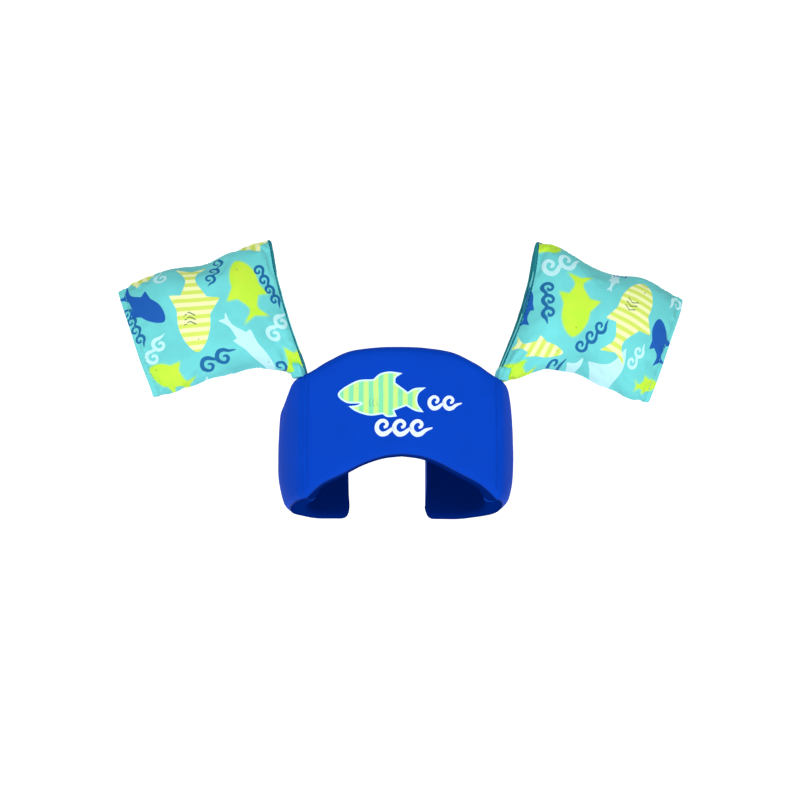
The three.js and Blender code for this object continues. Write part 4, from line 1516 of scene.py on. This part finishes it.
def settled_sleeve(name):
    """Angles round one arm float, and its outer cloth after it has settled."""
    seed = 3 if name == "left" else 11
    u = np.linspace(-ARM_HALF, ARM_HALF, CLOTH_ROWS)
    around = np.arange(CLOTH_COLUMNS) * 2 * math.pi / CLOTH_COLUMNS
    rest = sleeve_rest(u, around)
    fine_u = np.linspace(-ARM_HALF, ARM_HALF, (CLOTH_ROWS - 1) * FINER + 1)
    fine_around = np.arange(CLOTH_COLUMNS * FINER) * 2 * math.pi / (CLOTH_COLUMNS * FINER)
    shape = sleeve_rest(fine_u, fine_around)
    normal = np.cross(np.gradient(shape, axis=1), np.gradient(shape, axis=0))
    normal /= np.linalg.norm(normal, axis=-1, keepdims=True)
    centre = shape.mean(1, keepdims=True)
    normal *= np.sign(np.sum(normal * (shape - centre), -1, keepdims=True))
    moved = settle(rest, seed)
    size = np.linalg.norm(moved, axis=-1, keepdims=True)
    cap = sizes().cloth_cap / MM
    moved *= cap * np.tanh(size / cap) / np.maximum(size, 1e-9)
    moved = finer(finer(moved, FINER, 0, False), FINER, 1, True)
    inward = np.minimum(np.sum(moved * normal, -1, keepdims=True) + 1.5, 0)
    shape = shape + moved - normal * inward
    pull = gathers(shape, seed)
    ends = smoothstep((ARM_HALF - np.abs(fine_u)) / 10)[:, None]
    shape = shape + normal * (pull * (0.25 + 0.75 * ends))[..., None]
    return fine_around, shape


def build_arm_float(name):
    side = SIDES[name]
    around, outer = settled_sleeve(name)
    inner_u = np.linspace(ARM_HALF, -ARM_HALF, 49)
    inner = hole_rings(inner_u, around)
    far_roll, near_roll = rolled(outer[-1], inner[0], 1.0), rolled(inner[-1], outer[0], -1.0)
    rings = np.concatenate([outer, far_roll, inner, near_roll])
    rows, columns = rings.shape[:2]
    world = sleeve_to_world(pulled(rings, name), side)
    faces = grid_faces(rows, columns, wrap_rows=True)
    lining_rows = (len(outer) + 2, len(outer) + len(far_roll) + len(inner) + 2)
    row_of = np.repeat(np.arange(rows), columns)
    picks = ((row_of >= lining_rows[0]) & (row_of < lining_rows[1])).astype(int)
    materials = [finish("printed_knit"), finish("aqua_knit")]
    cloth = facing_out(new_object(f"{name}_arm_cloth", world, faces, materials, picks))
    run = np.concatenate([[0], np.cumsum(np.linalg.norm(np.diff(rings, axis=0), axis=2).mean(1))])
    cloth_uv(cloth, np.repeat(run, columns), ring_lengths(rings).ravel())
    height = np.broadcast_to(cloth_height(around)[None, :], rings.shape[:2])
    flat = np.stack([rings[..., 0].ravel(), height.ravel()], 1)
    inks, band = print_on_cloth(flat, name)
    for ink, values in inks.items():
        set_values(cloth, ink, values)
    set_values(cloth, "band", band)
    stands_for = [f"{name}_arm_{part}" for part in ("cover", "lining", "elbow_hem")]
    fitted(cloth, f"{name}_arm", "printed_knit", *stands_for)
    build_hems(name, outer, inner)
    build_arm_cores(name)


HEM_ROW = 4  # the row of cloth that the stitches near an end are sewn along


def build_binding(name, middle, arm, reach, back):
    """The overlocked binding round the shoulder end; returns how far it swells past the cloth."""
    width, swell = sizes().hem / MM, reach + 0.5
    rings = [middle + arm * swell + back * width, middle + arm * (swell + 0.2) + back * width * 0.5]
    for t in np.linspace(0, math.pi, 8):
        rings.append(middle + arm * swell * math.cos(t) - back * swell * math.sin(t))
    rings += [middle - arm * (swell + 0.2) + back * width * 0.5, middle - arm * swell + back * width]
    rings += [middle + way * arm * (reach - 0.4) + back * width for way in (-1, 1)]
    rings = np.stack(rings)
    world = sleeve_to_world(pulled(rings, name), SIDES[name])
    faces = grid_faces(*world.shape[:2], wrap_rows=True)
    binding = facing_out(new_object(f"{name}_arm_binding", world, faces, [finish("binding")]))
    run = np.concatenate([[0], np.cumsum(np.linalg.norm(np.diff(rings, axis=0), axis=2).mean(1))])
    cloth_uv(binding, np.repeat(run, world.shape[1]), ring_lengths(rings).ravel())
    fitted(binding, f"{name}_arm", "printed_knit", f"{name}_arm_shoulder_hem")
    return swell


def build_hems(name, outer, inner):
    """The shoulder end's binding, and a row of stitches near each end."""
    for place, rows, inside in (("shoulder", outer, inner[-1]), ("elbow", outer[::-1], inner[0])):
        edge = rows[0]
        middle = (edge + inside) / 2
        back = rows[HEM_ROW] - edge
        back /= np.linalg.norm(back, axis=-1, keepdims=True)
        arm = edge - middle
        reach = np.linalg.norm(arm, axis=-1, keepdims=True)
        arm /= reach
        if place == "shoulder":
            swell = build_binding(name, middle, arm, reach, back)
            row, sewing = middle + arm * (swell + 0.1) + back * (sizes().hem / MM) * 0.6, "navy_thread"
        else:
            row, sewing = rows[HEM_ROW] + arm * 0.15, "aqua_thread"
        row = sleeve_to_world(pulled(row, name), SIDES[name])
        row = np.concatenate([row, row[:1]])
        sewn = stitched(f"{name}_arm_{place}_stitches", [row], away_from(row.mean(0)), sewing)
        fitted(sewn, f"{name}_arm", "printed_knit")


def away_from(centre):
    """The way out of a ring of cloth at a point, square to the arm."""
    def out(point):
        way = point - centre
        return way / np.linalg.norm(way)
    return out


def build_arm_cores(name):
    """Front and back foam inside each arm float."""
    side = SIDES[name]
    u = np.linspace(-71, 71, 30)
    for place, centre_angle in (("front", 0.0), ("back", math.pi)):
        spread = np.linspace(-1.28, 1.28, 26) + centre_angle
        w, v = sleeve_section(u[:, None], spread[None, :])
        top, foot = line_at(ARM_TOP, u)[:, None], line_at(ARM_FOOT, u)[:, None]
        middle = (top + foot) / 2
        outside = np.stack([np.broadcast_to(u[:, None], v.shape), middle + (v - middle) * 0.94, w * 0.8], -1)
        w, v = sleeve_section(u[:, None], spread[None, ::-1], hole=True)
        inside = np.stack([np.broadcast_to(u[:, None], v.shape), v, w * 1.12], -1)
        rings = sleeve_to_world(pulled(np.concatenate([outside, inside], 1), name), side)
        faces = capped(*rings.shape[:2])
        core = facing_out(new_object(f"{name}_arm_core_{place}", rings, faces, [finish("foam")]))
        cloth_uv(core, np.repeat(u, rings.shape[1]), ring_lengths(rings).ravel())
        fitted(core, f"{name}_arm", "foam", f"{name}_arm_foam_{place}")


# ---- Shoulder tabs ----


TAB_ROWS, TAB_COLUMNS = 26, 56


def build_tab(name):
    """The gathered cloth that joins a chest corner to its arm float."""
    side = SIDES[name]
    low, high = node_box("right_gusset")
    t = np.linspace(0, 1, TAB_ROWS)
    turn = np.linspace(0, 2 * math.pi, TAB_COLUMNS, endpoint=False)
    z = (low.z - 6.5) + (high.z - low.z + 13.0) * t
    neck = np.sin(math.pi * t)
    centre_x = (low.x + high.x) / 2 - 0.8 + 5.5 * t
    centre_y = (low.y + high.y) / 2 + 0.5 * t
    dome = np.sqrt(1 - np.clip((t - 0.55) / 0.47, 0, 1) ** 2)
    half_x, half_y = (8.0 - 1.2 * neck + 2.5 * t) * dome, (12.0 - 1.6 * neck) * dome
    fold = 1 + (0.07 * neck)[:, None] * np.cos(9 * turn + 1.2 * math.sin(side))[None, :]
    x = centre_x[:, None] + half_x[:, None] * fold * np.cos(turn)[None, :]
    y = centre_y[:, None] + half_y[:, None] * fold * np.sin(turn)[None, :]
    rings = mirror_points(np.stack([x, y, np.broadcast_to(z[:, None], x.shape)], -1), side)
    faces = capped(TAB_ROWS, TAB_COLUMNS)
    tab = facing_out(new_object(f"{name}_shoulder_tab", rings, faces, [finish("aqua_knit")]))
    cloth_uv(tab, np.repeat(z, TAB_COLUMNS), ring_lengths(rings).ravel())
    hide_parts(f"{name}_gusset")
    hinge = pivot(f"{name}_arm_raise")
    (hinge + Vector((0, 0, -3.5))) * MM
    (hinge + Vector((0, 0, 4.5))) * MM
    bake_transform(tab)


# ---- Stage ----

AIM = Vector((-3.5, -90.0, 116.4))


def build_stage():
    settings = bpy.context.scene.swim_vest_stage
    floor_z = -settings.floor / MM
    profile = [
        (-6000, 0), (-3000, 0), (900, 0), (1500, 60), (1950, 300), (2250, 800), (2400, 1600), (2450, 6000),
    ]
    curve = smooth_path(profile, 8)
    x = np.linspace(-7000, 7000, 15)
    row = lambda y, z: np.stack([x, np.full_like(x, y), np.full_like(x, z + floor_z)], 1)
    points = np.stack([row(y, z) for y, z in curve])
    r, c = np.meshgrid(np.arange(len(curve) - 1), np.arange(14), indexing="ij")
    start = (r * 15 + c).ravel()
    faces = np.stack([start, start + 1, start + 16, start + 15], 1)
    backdrop = new_object("studio_sweep", points, faces, [studio_white("studio_white", 0.55)])
    a, e = math.radians(settings.azimuth), math.radians(settings.elevation)
    back = Vector((math.sin(a) * math.cos(e), -math.cos(a) * math.cos(e), math.sin(e)))
    camera = bpy.data.objects.new("camera", bpy.data.cameras.new("camera"))
    camera.data.lens, camera.data.sensor_width = settings.lens, 36.0
    camera.data.clip_end = 50
    camera.location = AIM * MM + back * settings.distance
    camera.rotation_euler = (-back).to_track_quat("-Z", "Y").to_euler()
    bpy.context.scene.collection.objects.link(camera)
    bpy.context.scene.camera = camera
    for name, power, place, size in (
        ("key", settings.key, (-0.35, -2.2, 1.0), 1.2),
        ("fill", settings.fill, (1.6, -1.4, 0.4), 1.4),
        ("back", settings.fill, (0.3, 1.9, 1.4), 1.4),
    ):
        lamp = bpy.data.lights.new(name, "AREA")
        lamp.energy, lamp.size = power, size
        holder = bpy.data.objects.new(name, lamp)
        holder.location = place
        aim = Vector((0, 0, 0.12)) - holder.location
        holder.rotation_euler = aim.to_track_quat("-Z", "Y").to_euler()
        bpy.context.scene.collection.objects.link(holder)
    world = bpy.data.worlds.new("surround")
    world.use_nodes = True
    sky = world.node_tree.nodes["Background"]
    sky.inputs["Color"].default_value = (1, 1, 1, 1)
    sky.inputs["Strength"].default_value = settings.sky
    bpy.context.scene.world = world
    bpy.context.scene.view_settings.view_transform = "Standard"


# ---- Operators and panel ----


class SWIMVEST_OT_chest(bpy.types.Operator):
    """Make the chest panel, its seams and its foam"""

    bl_idname = "swimvest.chest"
    bl_label = "Chest Panel"

    def execute(self, context):
        build_chest()
        return {"FINISHED"}


class SWIMVEST_OT_wings(bpy.types.Operator):
    """Make the two wings that wrap round the body"""

    bl_idname = "swimvest.wings"
    bl_label = "Wings"

    def execute(self, context):
        for name in SIDES:
            build_wing(name)
        return {"FINISHED"}


class SWIMVEST_OT_films(bpy.types.Operator):
    """Press the fish and the waves on the chest panel"""

    bl_idname = "swimvest.films"
    bl_label = "Pressed Films"

    def execute(self, context):
        build_films()
        return {"FINISHED"}


class SWIMVEST_OT_webbing(bpy.types.Operator):
    """Make the webbing, its loose end and its keeper"""

    bl_idname = "swimvest.webbing"
    bl_label = "Webbing"

    def execute(self, context):
        for name in SIDES:
            build_webbing(name)
        build_tail()
        build_keeper()
        return {"FINISHED"}


class SWIMVEST_OT_buckle(bpy.types.Operator):
    """Make the side-release buckle"""

    bl_idname = "swimvest.buckle"
    bl_label = "Buckle"

    def execute(self, context):
        build_buckle()
        return {"FINISHED"}


class SWIMVEST_OT_arm_floats(bpy.types.Operator):
    """Make the two printed arm floats"""

    bl_idname = "swimvest.arm_floats"
    bl_label = "Arm Floats"

    def execute(self, context):
        for name in SIDES:
            build_arm_float(name)
        return {"FINISHED"}


class SWIMVEST_OT_shoulder_tabs(bpy.types.Operator):
    """Make the gathered tabs that carry the arm floats"""

    bl_idname = "swimvest.shoulder_tabs"
    bl_label = "Shoulder Tabs"

    def execute(self, context):
        for name in SIDES:
            build_tab(name)
        return {"FINISHED"}


class SWIMVEST_OT_stage(bpy.types.Operator):
    """Make the floor, the lights and the camera"""

    bl_idname = "swimvest.stage"
    bl_label = "Stage"

    def execute(self, context):
        build_stage()
        return {"FINISHED"}


class SWIMVEST_PT_panel(bpy.types.Panel):
    """Lists the vest's settings and pieces"""

    bl_idname = "SWIMVEST_PT_panel"
    bl_label = "Swim Vest"
    bl_space_type = "VIEW_3D"
    bl_region_type = "UI"
    bl_category = "Swim Vest"

    def draw(self, context):
        for group in ("swim_vest_sizes", "swim_vest_colours", "swim_vest_stage"):
            settings = getattr(context.scene, group)
            box = self.layout.box()
            for name in settings.__annotations__:
                box.prop(settings, name)
        for operator in OPERATORS:
            self.layout.operator(operator.bl_idname)


OPERATORS = (
    SWIMVEST_OT_stage,
    SWIMVEST_OT_chest,
    SWIMVEST_OT_wings,
    SWIMVEST_OT_films,
    SWIMVEST_OT_webbing,
    SWIMVEST_OT_buckle,
    SWIMVEST_OT_arm_floats,
    SWIMVEST_OT_shoulder_tabs,
)
GROUPS = {
    "swim_vest_colours": SwimVestColours,
    "swim_vest_sizes": SwimVestSizes,
    "swim_vest_stage": SwimVestStage,
}


def register():
    for group in GROUPS.values():
        bpy.utils.register_class(group)
    for place, group in GROUPS.items():
        setattr(bpy.types.Scene, place, bpy.props.PointerProperty(type=group))
    for made in (*OPERATORS, SWIMVEST_PT_panel):
        bpy.utils.register_class(made)


def unregister():
    for made in (SWIMVEST_PT_panel, *reversed(OPERATORS)):
        bpy.utils.unregister_class(made)
    for place, group in GROUPS.items():
        delattr(bpy.types.Scene, place)
        bpy.utils.unregister_class(group)


def clear_startup():
    """Takes away the objects that a new file starts with."""
    kept = {*frame["nodes"].values(), *frame["bodies"].values()}
    for obj in list(bpy.context.scene.objects):
        if obj not in kept and obj.name in ("Cube", "Light", "Camera"):
            bpy.data.objects.remove(obj)


def main():
    register()
    clear_startup()
    for operator in OPERATORS:
        family, name = operator.bl_idname.split(".")
        getattr(getattr(bpy.ops, family), name)()


if __name__ == "__main__":
    main()
